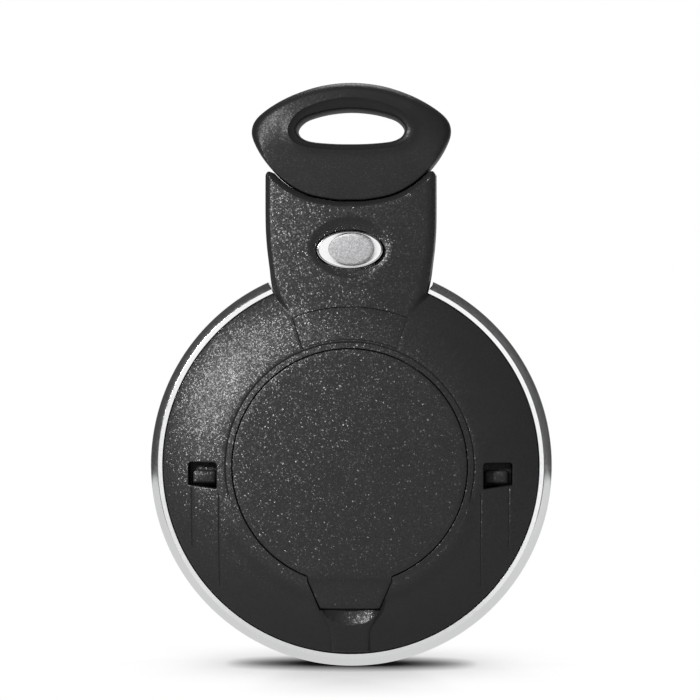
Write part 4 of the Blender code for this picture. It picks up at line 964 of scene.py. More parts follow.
@dataclass(frozen=True)
class KeyHead:
    """The moulded head of the emergency key, with the key-ring loop.

    Attributes:
        half_width: Half its width, at the wide height.
        wide_height: The height of its widest place.
        rise: How far it rises above that.
        drop: How far it reaches below that.
        half_thickness: Half its thickness.
        foot_edge: The width of its rounded edge at the foot.
        top_edge: The width of its rounded edge at the top.
        edge_drop: How far that edge falls.
        pillow_width: How far in the soft crown of the upper half starts.
        pillow_drop: How far that crown falls.
        upper_span: Where the upper half's edge and crown start and are whole, from the wide height.
        wing: How far from the middle the upper half starts to bend back.
        wing_bend: How much it bends.
        wing_span: Where that starts and is whole, from the wide height.
        bead: How high the bead on the ridge round the loop stands.
        bead_width: How wide that is.
        loop_size: Half the width of the loop where it is narrowest, its rise and its drop.
        rim_size: The same of the ridge round the loop's dished rim.
        loop_height: The height of the loop's widest place.
        wall_flare: How far the loop's bulging wall opens to both faces.
        rim_depth: How far the rim is dished.
        edge_lines: The gaps of the mesh's lines inside the outline.
        hole_lines: The same round the loop.
        ridge_lines: The same on both sides of the ridge.
    """

    half_width: float = 12.48
    wide_height: float = 66.8
    rise: float = 5.86
    drop: float = 8.95
    half_thickness: float = 3.2
    foot_edge: float = 0.16
    top_edge: float = 1.1
    edge_drop: float = 1.5
    pillow_width: float = 4.0
    pillow_drop: float = 0.5
    upper_span: tuple[float, float] = (-5.0, 0.0)
    wing: float = 7.1
    wing_bend: float = 0.034
    wing_span: tuple[float, float] = (-2.5, 1.5)
    bead: float = 0.12
    bead_width: float = 0.45
    loop_size: tuple[float, float, float] = (6.6, 2.2, 1.85)
    rim_size: tuple[float, float, float] = (7.8, 3.8, 2.8)
    loop_height: float = 66.9
    wall_flare: float = 0.43
    rim_depth: float = 0.35
    edge_lines: tuple[float, ...] = (0.02, 0.06, 0.12, 0.2, 0.28, 0.5, 0.8, 1.1, 1.7)
    hole_lines: tuple[float, ...] = (0.01, 0.04, 0.1, 0.2, 0.32, 0.43)
    ridge_lines: tuple[float, ...] = (-0.6, -0.3, 0.0, 0.3, 0.6)

    def head(self) -> np.ndarray:
        """The head's outline.

        Returns:
            The points, counter-clockwise.
        """
        foot = [(0.0, 1.0), (0.177, 0.991), (0.442, 0.91), (0.676, 0.717), (0.863, 0.435),
                (0.972, 0.175)]
        top = [(1.0, 0.0), (0.953, 0.248), (0.8, 0.505), (0.572, 0.752), (0.297, 0.935), (0.0, 1.0)]
        return self.two_part(self.half_width, self.wide_height, self.rise, self.drop, top, foot)

    def loop(self, size: tuple[float, float, float]) -> np.ndarray:
        """An outline of the loop's shape.

        Args:
            size: Its half width, rise and drop.

        Returns:
            The points, counter-clockwise.
        """
        foot = [(0.0, 1.0), (0.36, 0.97), (0.73, 0.845), (0.905, 0.63), (0.985, 0.34)]
        top = [(1.0, 0.0), (0.92, 0.34), (0.76, 0.62), (0.41, 0.89), (0.0, 1.0)]
        return self.two_part(size[0], self.loop_height, size[1], size[2], top, foot)

    @staticmethod
    def two_part(half_width: float, height: float, rise: float, drop: float,
                 top: Sequence, foot: Sequence) -> np.ndarray:
        """A closed outline, symmetric in x, with two parts.

        Args:
            half_width: Half its width.
            height: The height of its widest place.
            rise: How far it rises above that.
            drop: How far it reaches below that.
            top: The upper part as shares of the half width and the rise, upwards.
            foot: The lower part as shares of the half width and the drop, upwards.

        Returns:
            The points, counter-clockwise.
        """
        knots = [(half_width * x, height - drop * y) for x, y in foot]
        knots += [(half_width * x, height + rise * y) for x, y in top]
        guides = [(-knots[1][0], knots[1][1]), *knots, (-knots[-2][0], knots[-2][1])]
        curve = spline(guides, CURVE_STEPS)[CURVE_STEPS:-CURVE_STEPS]
        return densified(mirrored(curve), 0.25)

    def face(self, points: np.ndarray) -> np.ndarray:
        """The height of the head's face, the same on both sides.

        Args:
            points: Where the heights are wanted.

        Returns:
            The heights.
        """
        edge = reach(points, self.head())
        upper = eased(points[:, 1], *(self.wide_height + end for end in self.upper_span))
        width = self.foot_edge + (self.top_edge - self.foot_edge) * upper
        fall = rolled(edge, width, self.edge_drop)
        fall += upper * rolled(edge, self.pillow_width, self.pillow_drop)
        wings = eased(points[:, 1], *(self.wide_height + end for end in self.wing_span))
        fall += wings * self.wing_bend * np.clip(np.abs(points[:, 0]) - self.wing, 0, None) ** 2
        gap = np.maximum(-reach(points, self.loop(self.loop_size)), 0)
        wall = np.clip(gap - self.wall_flare, 0, None)
        ridge = reach(points, self.loop(self.rim_size))
        fall -= self.bead * np.exp(-(ridge / self.bead_width) ** 2)
        rim = np.clip(ridge, 0, None)
        share = rim / np.maximum(rim + wall, ON_LINE)
        top = self.half_thickness - fall - self.rim_depth * share * (2 - share)
        return top - rolled(gap, self.wall_flare, 1.0) * np.maximum(top - LEAST_THICKNESS, 0)

    def build(self, finishes: Finishes) -> None:
        """Makes the head.

        Args:
            finishes: The finishes of the object.
        """
        head, hole = self.head(), self.loop(self.loop_size)
        ridge = self.loop(self.rim_size)
        loops = [inset(head, gap) for gap in self.edge_lines]
        loops += [inset(hole, -gap) for gap in self.hole_lines]
        loops += [inset(ridge, gap) for gap in self.ridge_lines]
        relief = Relief(head, self.face, lambda points: -self.face(points), [hole], loops)
        piece = relief.build("key_grip", Face.REAR)
        finish(piece, finishes.head, Body.KEY, Slot.CASE, "key_head")


# Casing

@dataclass(frozen=True)
class Casing:
    """Sizes that both halves of the casing share, with the neck that they form."""

    key_head: KeyHead
    centre: float = 25.0
    lip_radius: float = 23.25
    lip_depth: float = 3.8
    lip_underside: float = 3.2
    lip_round: float = 0.05
    case_radius: float = 22.4
    cavity_radius: float = 21.2
    cavity_depth: float = 3.0
    parting: float = 0.15
    dome_rise: float = 0.4
    neck_face: float = 5.5
    neck_crown: float = 0.6
    neck_draft: float = 0.16
    neck_edge_width: float = 0.68
    neck_edge_drop: float = 0.9
    neck_edge_power: float = 1.3
    neck_join: float = 0.3
    neck_half_width: float = 10.7
    neck_side: tuple[tuple[float, float], ...] = (
        (7.58, 43.0), (8.69, 44.61), (9.79, 47.22), (10.32, 50.54), (10.57, 52.95),
        (10.68, 55.57), (10.68, 60.75), (10.63, 61.1), (10.5, 61.36), (10.3, 61.53),
        (10.07, 61.58), (9.86, 61.54))
    neck_lines: tuple[float, ...] = (0.08, 0.16, 0.2, 0.28, 0.36, 0.46, 0.6, 0.72, 0.84)
    neck_tip: float = 61.6
    saddle_half_width: float = 9.7
    saddle_gap: float = 0.05
    tunnel_half_width: float = 4.5
    tunnel_half_depth: float = 1.3
    pocket_half_width: float = 5.9
    pocket_half_height: float = 2.3
    release_height: float = 51.65
    line_step: float = 0.3
    wall_step: float = 0.02

    def ring(self, radius: float) -> np.ndarray:
        """A circle about the disc's centre."""
        return ellipse(radius, radius, (0, self.centre), ceil(tau * radius / self.line_step))

    def sweep(self, radius: float, start: float, turn: float) -> np.ndarray:
        """Points along an arc about the disc's centre."""
        steps = ceil(turn * radius / self.line_step)
        return polar((0, self.centre), radius, start + turn * np.arange(steps + 1) / steps)

    def radius(self, points: np.ndarray) -> np.ndarray:
        """The distance of each point to the disc's centre."""
        return np.hypot(points[:, 0], points[:, 1] - self.centre)

    def neck(self) -> np.ndarray:
        """The outline of the neck, from its foot inside the disc up to the two tips.

        Returns:
            The points, counter-clockwise.
        """
        side = spline(self.neck_side, 5)
        around = inset(self.key_head.head(), -self.saddle_gap)
        x, y = around.T
        saddle = around[(x > -ON_LINE) & (x < self.saddle_half_width) & (y < self.neck_tip)]
        half = np.vstack((side, saddle[np.argsort(-saddle[:, 0])]))
        return densified(mirrored(half), self.line_step)

    def outline(self) -> np.ndarray:
        """The disc and the neck as one loop.

        Returns:
            The points, counter-clockwise.
        """
        neck = self.neck()
        out = self.radius(neck) > self.lip_radius
        right = np.argmax(out & (neck[:, 0] > 0))
        left = len(out) - 1 - np.argmax(out[::-1])
        run = neck[right:left + 1]
        inner, way = neck[right - 1], neck[right] - neck[right - 1]
        corner = inner + way * crossing(0, 1, lambda share: hypot(
            *(inner + way * share - (0, self.centre))) > self.lip_radius)
        start = np.arctan2(corner[1] - self.centre, -corner[0])
        disc = self.sweep(self.lip_radius, start, tau - 2 * (start - pi / 2))
        return np.vstack((run, disc))

    def neck_loops(self) -> list[np.ndarray]:
        """Lines along the neck's edge."""
        neck = self.neck()
        return [neck] + [inset(neck, gap) for gap in (-self.wall_step, *self.neck_lines)]

    def neck_height(self, points: np.ndarray, distance: np.ndarray) -> np.ndarray:
        """The height of the neck: drafted wall, edge and slightly crowned face.

        Args:
            points: Where the heights are wanted.
            distance: The points' distances inside the neck.

        Returns:
            The heights, far below the disc's where there is no neck.
        """
        low = self.parting + LEAST_THICKNESS
        crown = self.neck_crown * (points[:, 0] / self.neck_half_width) ** 2
        crowned = self.neck_face - crown
        high = crowned - self.neck_edge_drop
        wall = low + (high - low) * distance / self.neck_draft
        face = crowned - rolled(distance - self.neck_draft, self.neck_edge_width,
                                self.neck_edge_drop, self.neck_edge_power)
        top = np.where(distance < self.neck_draft, wall, face)
        return np.where(distance > -ON_LINE, top, FAR_BELOW)

    def skirt_rings(self) -> list[np.ndarray]:
        """Circles along the steps of the skirt under the lip.

        Returns:
            The circles.
        """
        rings = []
        for radius in (self.case_radius, self.cavity_radius):
            rings += [self.ring(radius), self.ring(radius + self.wall_step)]
        rings += [self.ring(self.lip_radius - self.lip_round * share) for share in (0.4, 1.0)]
        return rings

    def underside(self, points: np.ndarray, neck: np.ndarray, ceiling: np.ndarray,
                  pocket_depth: float) -> np.ndarray:
        """The inner side of a half.

        Args:
            points: Where the heights are wanted.
            neck: The points' distances inside the neck.
            ceiling: The height of the cavity's ceiling at each point.
            pocket_depth: How deep the pocket for the latch is.

        Returns:
            The heights.
        """
        radius = self.radius(points)
        x, y = np.abs(points[:, 0]), points[:, 1]
        low = np.where(radius <= self.case_radius + ON_LINE, self.parting, self.lip_underside)
        low = np.where(neck > -ON_LINE, self.parting, low)
        tunnel = (y > self.centre) & (x < self.tunnel_half_width) & (low == self.parting)
        low = np.where(tunnel, self.tunnel_half_depth, low)
        pocket = np.abs(y - self.release_height) < self.pocket_half_height
        low = np.where(pocket & (x < self.pocket_half_width), pocket_depth, low)
        return np.where(radius <= self.cavity_radius + ON_LINE, ceiling, low)

    def lip_fall(self, points: np.ndarray, neck: np.ndarray) -> np.ndarray:
        """How far the lip's rounded edge has fallen, outside the neck."""
        fall = rolled(self.lip_radius - self.radius(points), self.lip_round, self.lip_round)
        return np.where(neck > 0, 0, fall)


@dataclass(frozen=True)
class RearHalf:
    """The rear half of the casing: battery ring, dome, panel, windows, channel and neck."""

    casing: Casing
    plateau: float = 6.85
    step_radius: float = 15.3
    step_width: float = 0.12
    step_fall: float = 0.25
    step_spread: float = 2.2
    groove_half: float = 0.08
    groove_depth: float = 0.07
    step_fade: tuple[float, float] = (16.0, 22.0)
    opening_radius: float = 14.53
    ledge_radius: float = 13.2
    ledge: float = 5.15
    ceiling: float = 4.15
    ceiling_slope: float = 1.2
    rib_radius: float = 19.4
    rib_width: float = 1.0
    rib_depth: float = 2.1
    panel_radius: float = 19.66
    panel_top_half: float = 7.15
    panel_foot_half: float = 5.85
    panel_foot: float = 39.4
    panel_sink: float = 0.2
    window_inner: float = 16.4
    window_outer: float = 20.0
    window_low: float = 22.2
    window_slant: float = 0.45
    window_top: float = 25.45
    tab_half: float = 5.22
    tab_shoulder: float = 10.9
    tab_end_half: float = 3.71
    tab_end: float = 7.3
    scoop_spot: tuple[float, float, float] = (0.0, 7.5, 6.6)
    scoop_half: tuple[float, float, float] = (3.35, 2.85, 1.35)
    aperture: tuple[float, float] = (4.27, 2.52)
    dish_half: tuple[float, float] = (5.3, 3.75)
    dish_rise: float = 0.25
    dish_sink: float = 0.8
    dish_lift: float = 1.0
    pocket_depth: float = 3.9
    line_half: float = 0.12
    line_depth: float = 0.09
    line_spots: tuple[tuple[float, float, float], ...] = ((19.6, 14.8, 22.3), (16.14, 10.0, 21.4))
    outline_step: float = 0.2
    step_drop: float = 0.06
    step_lines: tuple[float, ...] = (0.16, 0.08, 0.0)
    window_lines: tuple[float, ...] = (0.05, 0.11, 0.17)
    panel_edge: tuple[float, float] = (-0.02, 0.1)
    opening_edge: tuple[float, float] = (0.05, 0.04)
    window_edge: tuple[float, float] = (0.16, 0.12)
    window_corners: tuple[float, float, float, float] = (0.15, 0.15, 0.4, 0.4)
    channel_edge: tuple[float, float] = (0.45, 0.3)
    channel_join: float = 0.15
    dish_lines: tuple[float, ...] = (1.0, 0.97, 0.9)
    scoop_lines: tuple[float, ...] = (1.0, 0.985, 0.94, 0.86, 0.74, 0.58)

    def windows(self) -> list[np.ndarray]:
        """The two latch windows.

        Returns:
            The right one and the left one.
        """
        inner, outer = self.window_inner, self.window_outer
        low, top = self.window_low, self.window_top
        corners = [(inner, low), (outer, low + self.window_slant), (outer, top), (inner, top)]
        right = rounded(corners, self.window_corners)
        return [densified(loop, 0.15) for loop in (right, right[::-1] * (-1, 1))]

    def panel(self) -> np.ndarray:
        """The sunk panel between the neck and the battery ring.

        Returns:
            The panel's outline.
        """
        top = self.casing.centre + sqrt(self.panel_radius ** 2 - self.panel_top_half ** 2)
        rise = self.casing.centre + self.panel_radius - top
        foot_rise = self.step_radius - sqrt(self.step_radius ** 2 - self.panel_foot_half ** 2)
        upper = arc((self.panel_top_half, top), (-self.panel_top_half, top), -rise, 24)
        lower = arc((-self.panel_foot_half, self.panel_foot),
                    (self.panel_foot_half, self.panel_foot), foot_rise, 24)
        return densified(np.vstack((upper, lower)), self.outline_step)

    def channel_rows(self) -> np.ndarray:
        """The channel's height up the disc, half width and depth."""
        return np.array([(1.95, 2.25, 4.3), (4.8, 2.45, 5.45), (7.5, 3.85, 6.6),
                         (10.9, 5.46, 6.65), (13.0, 5.76, 6.65)])

    def channel(self) -> np.ndarray:
        """The outline of the channel strip."""
        side = self.channel_rows()[:, [1, 0]]
        return densified(np.vstack((side, (side * (-1, 1))[::-1])), self.outline_step)

    def tab_space(self) -> np.ndarray:
        """The space that the lid's tab lies in.

        Returns:
            Its outline.
        """
        side = [(self.tab_end_half, self.tab_end), (self.tab_half, self.tab_shoulder),
                (self.tab_half, self.tab_shoulder + 2.1)]
        corners = [(-x, y) for x, y in side[:1]] + side + [(-x, y) for x, y in side[:0:-1]]
        return densified(corners, self.outline_step)

    def hairlines(self) -> list[tuple[float, float, float]]:
        """The fine lines below the windows, as x, foot and top."""
        return [(side * x, low, high) for side in (-1, 1) for x, low, high in self.line_spots]

    def scoop(self, points: np.ndarray) -> np.ndarray:
        """The height of the pry scoop's floor.

        Args:
            points: Where the heights are wanted.

        Returns:
            The heights, far above everything outside it.
        """
        (cx, cy, cz), (hx, hy, hz) = self.scoop_spot, self.scoop_half
        left = 1 - ((points[:, 0] - cx) / hx) ** 2 - ((points[:, 1] - cy) / hy) ** 2
        return hollow(left, cz, hz)

    def dish(self, points: np.ndarray) -> np.ndarray:
        """The height of the dish round the release button.

        Args:
            points: Where the heights are wanted.

        Returns:
            The heights, far above everything outside it.
        """
        height = self.dish_lift + self.dish_sink
        spread = sqrt(1 - (self.dish_lift / height) ** 2)
        centre = self.casing.release_height + self.dish_rise
        left = 1 - (points[:, 0] * spread / self.dish_half[0]) ** 2
        left -= ((points[:, 1] - centre) * spread / self.dish_half[1]) ** 2
        return hollow(left, self.casing.neck_face + self.dish_lift, height)

    def dome(self, points: np.ndarray) -> np.ndarray:
        """The height of the dome, the step and the battery ring; the step is softer at the foot.

        Args:
            points: Where the heights are wanted.

        Returns:
            The heights.
        """
        casing = self.casing
        radius = casing.radius(points)
        start = (self.step_radius, self.plateau - self.step_fall + self.step_drop)
        dome = bowed(radius, start, (casing.lip_radius, casing.lip_depth), casing.dome_rise)
        low, high = self.step_fade
        spread = self.step_spread * (1 - eased(points[:, 1], low, high))
        border = self.step_radius - self.step_width
        rise = 1 - eased(radius, border, self.step_radius + spread)
        ring = dome + (self.plateau - dome) * rise
        width = border - self.opening_radius
        fall = self.step_drop * np.clip((radius - self.opening_radius) / width, 0, 1)
        top = np.where(radius < border, self.plateau - fall, ring - self.step_drop)
        groove = np.exp(-((radius - self.step_radius) / self.groove_half) ** 2)
        return top - self.groove_depth * groove * eased(points[:, 1], low, high)

    def face(self, points: np.ndarray) -> np.ndarray:
        """The height of the rear face.

        Args:
            points: Where the heights are wanted.

        Returns:
            The heights.
        """
        casing = self.casing
        radius = casing.radius(points)
        neck = reach(points, casing.neck())
        dome = self.dome(points)
        height = higher(casing.neck_height(points, neck), dome, casing.neck_join)
        panel = eased(reach(points, self.panel()), *self.panel_edge)
        height = height + (dome - self.panel_sink - height) * panel
        height = self.with_channel(points, height)
        for x, low, high in self.hairlines():
            along = np.maximum(np.maximum(low - points[:, 1], points[:, 1] - high), 0)
            gap = np.hypot(points[:, 0] - x, along)
            height = height - self.line_depth * (1 - eased(gap, 0, self.line_half))
        height = np.minimum(np.minimum(height, self.dish(points)), self.scoop(points))
        edge = radius - self.opening_radius
        height = height - rolled(edge, *self.opening_edge) * (edge > -ON_LINE)
        half_wall = casing.wall_step / 2
        height = np.where(edge < -half_wall, self.ledge, height)
        tab = reach(points, self.tab_space())
        height = np.where(tab > half_wall, np.minimum(height, self.ledge), height)
        for window in self.windows():
            height = height - rolled(-reach(points, window), *self.window_edge)
        return height - casing.lip_fall(points, neck)

    def with_channel(self, points: np.ndarray, height: np.ndarray) -> np.ndarray:
        """Adds the channel strip to the rear face.

        Args:
            points: Where the heights are wanted.
            height: The heights without it.

        Returns:
            The heights.
        """
        rows = self.channel_rows()
        x, y = np.abs(points[:, 0]), points[:, 1]
        inner = np.interp(y, rows[:, 0], rows[:, 1]) - x
        inner = np.minimum(inner, y - rows[0, 0])
        top = np.interp(y, rows[:, 0], rows[:, 2]) - rolled(inner, *self.channel_edge)
        top = np.where((inner > -ON_LINE) & (y < rows[-1, 0]), top, FAR_BELOW)
        return higher(top, height, self.channel_join)

    def underside(self, points: np.ndarray) -> np.ndarray:
        """The inner side of the rear half.

        Args:
            points: Where the heights are wanted.

        Returns:
            The heights.
        """
        casing = self.casing
        radius = casing.radius(points)
        ceiling = np.interp(radius, (self.rib_radius - self.ceiling_slope, self.rib_radius),
                            (self.ceiling, casing.cavity_depth))
        rib = (radius >= self.rib_radius - ON_LINE) & (radius <= self.rib_radius + self.rib_width)
        ceiling = np.where(rib, self.rib_depth, ceiling)
        return casing.underside(points, reach(points, casing.neck()), ceiling, self.pocket_depth)

    def relief(self) -> Relief:
        """The solid's outline, holes and guide lines.

        Returns:
            The solid, ready to build.
        """
        casing, windows = self.casing, self.windows()
        wall, step, rib = casing.wall_step, self.step_radius, self.rib_radius
        spot = (0, casing.release_height)
        (dish_x, dish_y), (scoop_x, scoop_y, _) = self.dish_half, self.scoop_half
        loops = casing.neck_loops() + casing.skirt_rings()
        loops += [ellipse(dish_x * share, dish_y * share, (0, spot[1] + self.dish_rise), 100)
                  for share in self.dish_lines]
        loops += [ellipse(scoop_x * share, scoop_y * share, self.scoop_spot[:2], 56)
                  for share in self.scoop_lines]
        loops += [self.grown(window, gap) for window in windows for gap in self.window_lines]
        border, opening = step - self.step_width, self.opening_radius
        loops += [casing.ring(radius) for radius in (
            *(step + gap for gap in self.step_lines), step - self.step_width / 2, border,
            border - 0.04, opening + self.opening_edge[0], opening, opening - wall,
            self.ledge_radius + 0.15, rib, rib - wall, rib + self.rib_width,
            rib + self.rib_width + wall)]
        for loop, gaps in ((self.panel(), (0.08, -0.1)), (self.channel(), (wall, -0.08, -0.25)),
                           (self.tab_space(), (-wall, 0.08))):
            loops += [loop] + [self.grown(loop, gap) for gap in gaps]
        holes = [ellipse(self.aperture[0] + gap, self.aperture[1] + gap, spot, 90)
                 for gap in (0, 0.06, 0.2)]
        lines = [densified([(x + gap, low - 0.1), (x + gap, high)], casing.line_step, False)
                 for x, low, high in self.hairlines()
                 for gap in (-self.line_half, -0.05, 0, 0.05, self.line_half)]
        return Relief(casing.outline(), self.face, self.underside,
                      [casing.ring(self.ledge_radius), holes[0], *windows], loops + holes[1:],
                      lines)

    @staticmethod
    def grown(loop: np.ndarray, distance: float) -> np.ndarray:
        """The loop moved outwards, whichever way it runs.

        Args:
            loop: The loop.
            distance: How far it moves.

        Returns:
            The moved loop, counter-clockwise.
        """
        x, y = loop.T
        area = np.sum(x * np.roll(y, -1) - np.roll(x, -1) * y)
        return inset(loop[::-1] if area < 0 else loop, -distance)

    def build(self, finishes: Finishes) -> None:
        """Makes the rear half."""
        piece = self.relief().build("rear_half", Face.REAR)
        finish(piece, finishes.case, Body.SHELL, Slot.CASE, "rear_cover")


@dataclass(frozen=True)
class FrontHalf:
    """The front half of the casing: flat face, dome, badge seat, button openings and hooks."""

    casing: Casing
    flat_radius: float = 16.4
    flat: float = 6.4
    wall: float = 1.1
    badge_radius: float = 7.8
    badge_seat: float = 5.6
    badge_floor: float = 4.4
    boss_radius: float = 8.4
    button_inner: float = 9.6
    button_outer: float = 15.2
    button_half_angle: float = radians(47)
    button_corner: float = 1.2
    button_gap: float = 0.2
    button_edge: tuple[float, float] = (0.18, 0.14)
    badge_edge: tuple[float, float] = (0.15, 0.12)
    ceiling_slope: float = 2.5
    pocket_depth: float = 4.5
    hook_inner: float = 16.5
    hook_outer: float = 19.6
    hook_low: float = 22.75
    hook_top: float = 24.45
    hook_reach: float = 4.7

    def sector(self, angle: float, grow: float = 0.0, share: float = 1.0,
               steps: int = 30) -> np.ndarray:
        """A rounded rectangle bent round the disc's centre.

        Args:
            angle: The direction of its middle from the centre.
            grow: How far its outline is moved outwards.
            share: Its size beside the whole one's, about the same middle.
            steps: Points along its long sides.

        Returns:
            The outline, counter-clockwise.
        """
        middle = (self.button_inner + self.button_outer) / 2
        half_width = middle * self.button_half_angle
        half_height = middle - self.button_inner
        flat = rounded([(-half_width, -half_height), (half_width, -half_height),
                        (half_width, half_height), (-half_width, half_height)],
                       (self.button_corner,) * 4, 6)
        flat = densified(flat, 2 * half_width / steps) * share
        centre = (0, self.casing.centre)
        return inset(polar(centre, middle + flat[:, 1], angle - flat[:, 0] / middle), -grow)

    def face(self, points: np.ndarray) -> np.ndarray:
        """The height of the front face.

        Args:
            points: Where the heights are wanted.

        Returns:
            The heights.
        """
        casing = self.casing
        radius = casing.radius(points)
        neck = reach(points, casing.neck())
        dome = bowed(radius, (self.flat_radius, self.flat), (casing.lip_radius, casing.lip_depth),
                     casing.dome_rise)
        height = np.where(radius < self.flat_radius, self.flat, dome)
        height = higher(casing.neck_height(points, neck), height, casing.neck_join)
        for place in ButtonPlace:
            gap = -reach(points, self.sector(place.value, self.button_gap))
            height = height - rolled(gap, *self.button_edge)
        edge = radius - self.badge_radius
        height = height - rolled(edge, *self.badge_edge) * (edge > -ON_LINE)
        height = np.where(edge < -casing.wall_step / 2, self.badge_seat, height)
        return height - casing.lip_fall(points, neck)

    def underside(self, points: np.ndarray) -> np.ndarray:
        """The inner side of the front half.

        Args:
            points: Where the heights are wanted.

        Returns:
            The heights.
        """
        casing = self.casing
        radius = casing.radius(points)
        ceiling = np.interp(radius, (self.flat_radius, casing.cavity_radius - self.ceiling_slope),
                            (self.flat - self.wall, casing.cavity_depth))
        ceiling = np.where(radius < self.boss_radius, self.badge_floor, ceiling)
        return casing.underside(points, reach(points, casing.neck()), ceiling, self.pocket_depth)

    def hook(self, side: float) -> Piece:
        """One latch hook, with a rounded nose that shows in its window.

        Args:
            side: -1 for the left one and 1 for the right one.

        Returns:
            The hook.
        """
        x, end = side * (self.hook_inner + self.hook_outer) / 2, self.hook_reach
        sections = []
        for depth, shrink, lift in (
                (-1.2, -0.35, 1.15), (end - 0.85, -0.35, 1.15), (end - 0.8, -0.2, 0.9),
                (end - 0.75, 0.0, 0.0), (end - 0.4, 0.08, 0.0), (end - 0.16, 0.24, -0.08),
                (end - 0.04, 0.5, -0.3), (end, 0.85, -0.62)):
            half_width = (self.hook_outer - self.hook_inner) / 2 - shrink * 0.8
            low, top = self.hook_low + shrink * 0.5, self.hook_top + lift
            radius = min(0.4, (top - low) / 2 - 0.02)
            loop = rounded([(x - half_width, low), (x + half_width, low), (x + half_width, top),
                            (x - half_width, top)], (radius * 0.5, radius * 0.5, radius, radius), 4)
            sections.append(at_depth(loop, depth))
        return loft(f"latch_hook_{'left' if side < 0 else 'right'}", sections, Face.REAR)

    def build(self, finishes: Finishes) -> None:
        """Makes the front half and its two hooks.

        Args:
            finishes: The finishes of the object.
        """
        casing, badge, boss = self.casing, self.badge_radius, self.boss_radius
        wall = casing.wall_step
        openings = [self.sector(place.value, self.button_gap) for place in ButtonPlace]
        loops = casing.neck_loops() + casing.skirt_rings()
        loops += [inset(opening, -gap) for opening in openings for gap in (0.06, 0.18)]
        loops += [casing.ring(radius) for radius in (
            self.flat_radius, self.flat_radius + 0.4, badge + 0.15, badge + 0.05, badge,
            badge - wall, boss, boss + wall)]
        relief = Relief(casing.outline(), self.face, self.underside, openings, loops, [], 0.6)
        piece = relief.build("front_half", Face.FRONT)
        finish(piece, finishes.case, Body.SHELL, Slot.CASE, "front_cover")
        for side in (-1.0, 1.0):
            finish(self.hook(side), finishes.case, Body.SHELL, Slot.CASE)


class ButtonPlace(Enum):
    """The direction of each front button from the disc's centre."""

    UNLOCK = radians(150)
    LOCK = radians(30)
    BOOT = radians(270)


@dataclass(frozen=True)
class RimRing:
    """The bright ring round the rim, open where the neck passes."""

    casing: Casing
    rim_radius: float = 25.0
    bore_radius: float = 23.36
    flange_radius: float = 22.7
    flange_half: float = 2.9
    land_depth: float = 3.7
    land_end: float = 23.92
    gap: float = 0.08
    outer_gap: float = 0.34
    gap_run: float = 0.2
    neck_span: tuple[float, float] = (43.5, 58.0)
    end_span: tuple[float, float] = (radians(40), radians(85))
    steps: int = 320

    def profile(self) -> np.ndarray:
        """The ring's closed cross-section, from the rear flange to the front one.

        Returns:
            The (radius, depth) points.
        """
        bore, land = self.bore_radius, self.land_depth
        half = [(self.flange_radius, self.flange_half), (bore - 0.08, self.flange_half),
                (bore, land - 0.04), (bore + 0.01, land - 0.01), (bore + 0.04, land),
                (bore + 0.07, land), (self.land_end - 0.06, land), (self.land_end - 0.02, land)]
        half += [(self.land_end + out, land - fall) for out, fall in (
            (0.0, 0.0), (0.04, 0.015), (0.2, 0.1), (0.42, 0.26), (0.64, 0.48), (0.82, 0.75),
            (0.97, 1.05), (1.05, 1.28), (self.rim_radius - self.land_end, 1.5))]
        rear = np.array(half)
        return np.vstack((rear, rear[::-1] * (1, -1)))

    def start_angle(self, radius: float) -> float:
        """Where the ring ends beside the neck.

        Args:
            radius: The distance from the disc's centre.

        Returns:
            The angle there.
        """
        side, (foot, top) = self.casing.neck(), self.neck_span
        side = side[(side[:, 0] > 0) & (side[:, 1] > foot) & (side[:, 1] < top)]
        share = np.clip((radius - self.land_end) / self.gap_run, 0, 1)
        gap = self.gap + (self.outer_gap - self.gap) * share

        def touches(angle: float) -> bool:
            """Whether the ring would reach the neck at an angle."""
            x, y = radius * cos(angle), self.casing.centre + radius * sin(angle)
            return x <= np.interp(y, side[:, 1], side[:, 0]) + gap

        return crossing(*self.end_span, touches)

    def build(self, finishes: Finishes) -> None:
        """Makes the ring.

        Args:
            finishes: The finishes of the object.
        """
        profile = self.profile()
        starts = np.array([self.start_angle(radius) for radius in profile[:, 0]])
        sections = []
        for i in range(self.steps + 1):
            share = i / self.steps
            angles = starts * (1 - 2 * share) - pi * share
            ring = polar((0, self.casing.centre), profile[:, 0], angles)
            sections.append(np.column_stack((ring, profile[:, 1])))
        piece = loft("rim_ring", sections, Face.REAR)
        soften(piece, 0.07, radians(60))
        finish(piece, finishes.chrome, Body.SHELL, Slot.BRIGHT, "bezel_ring")


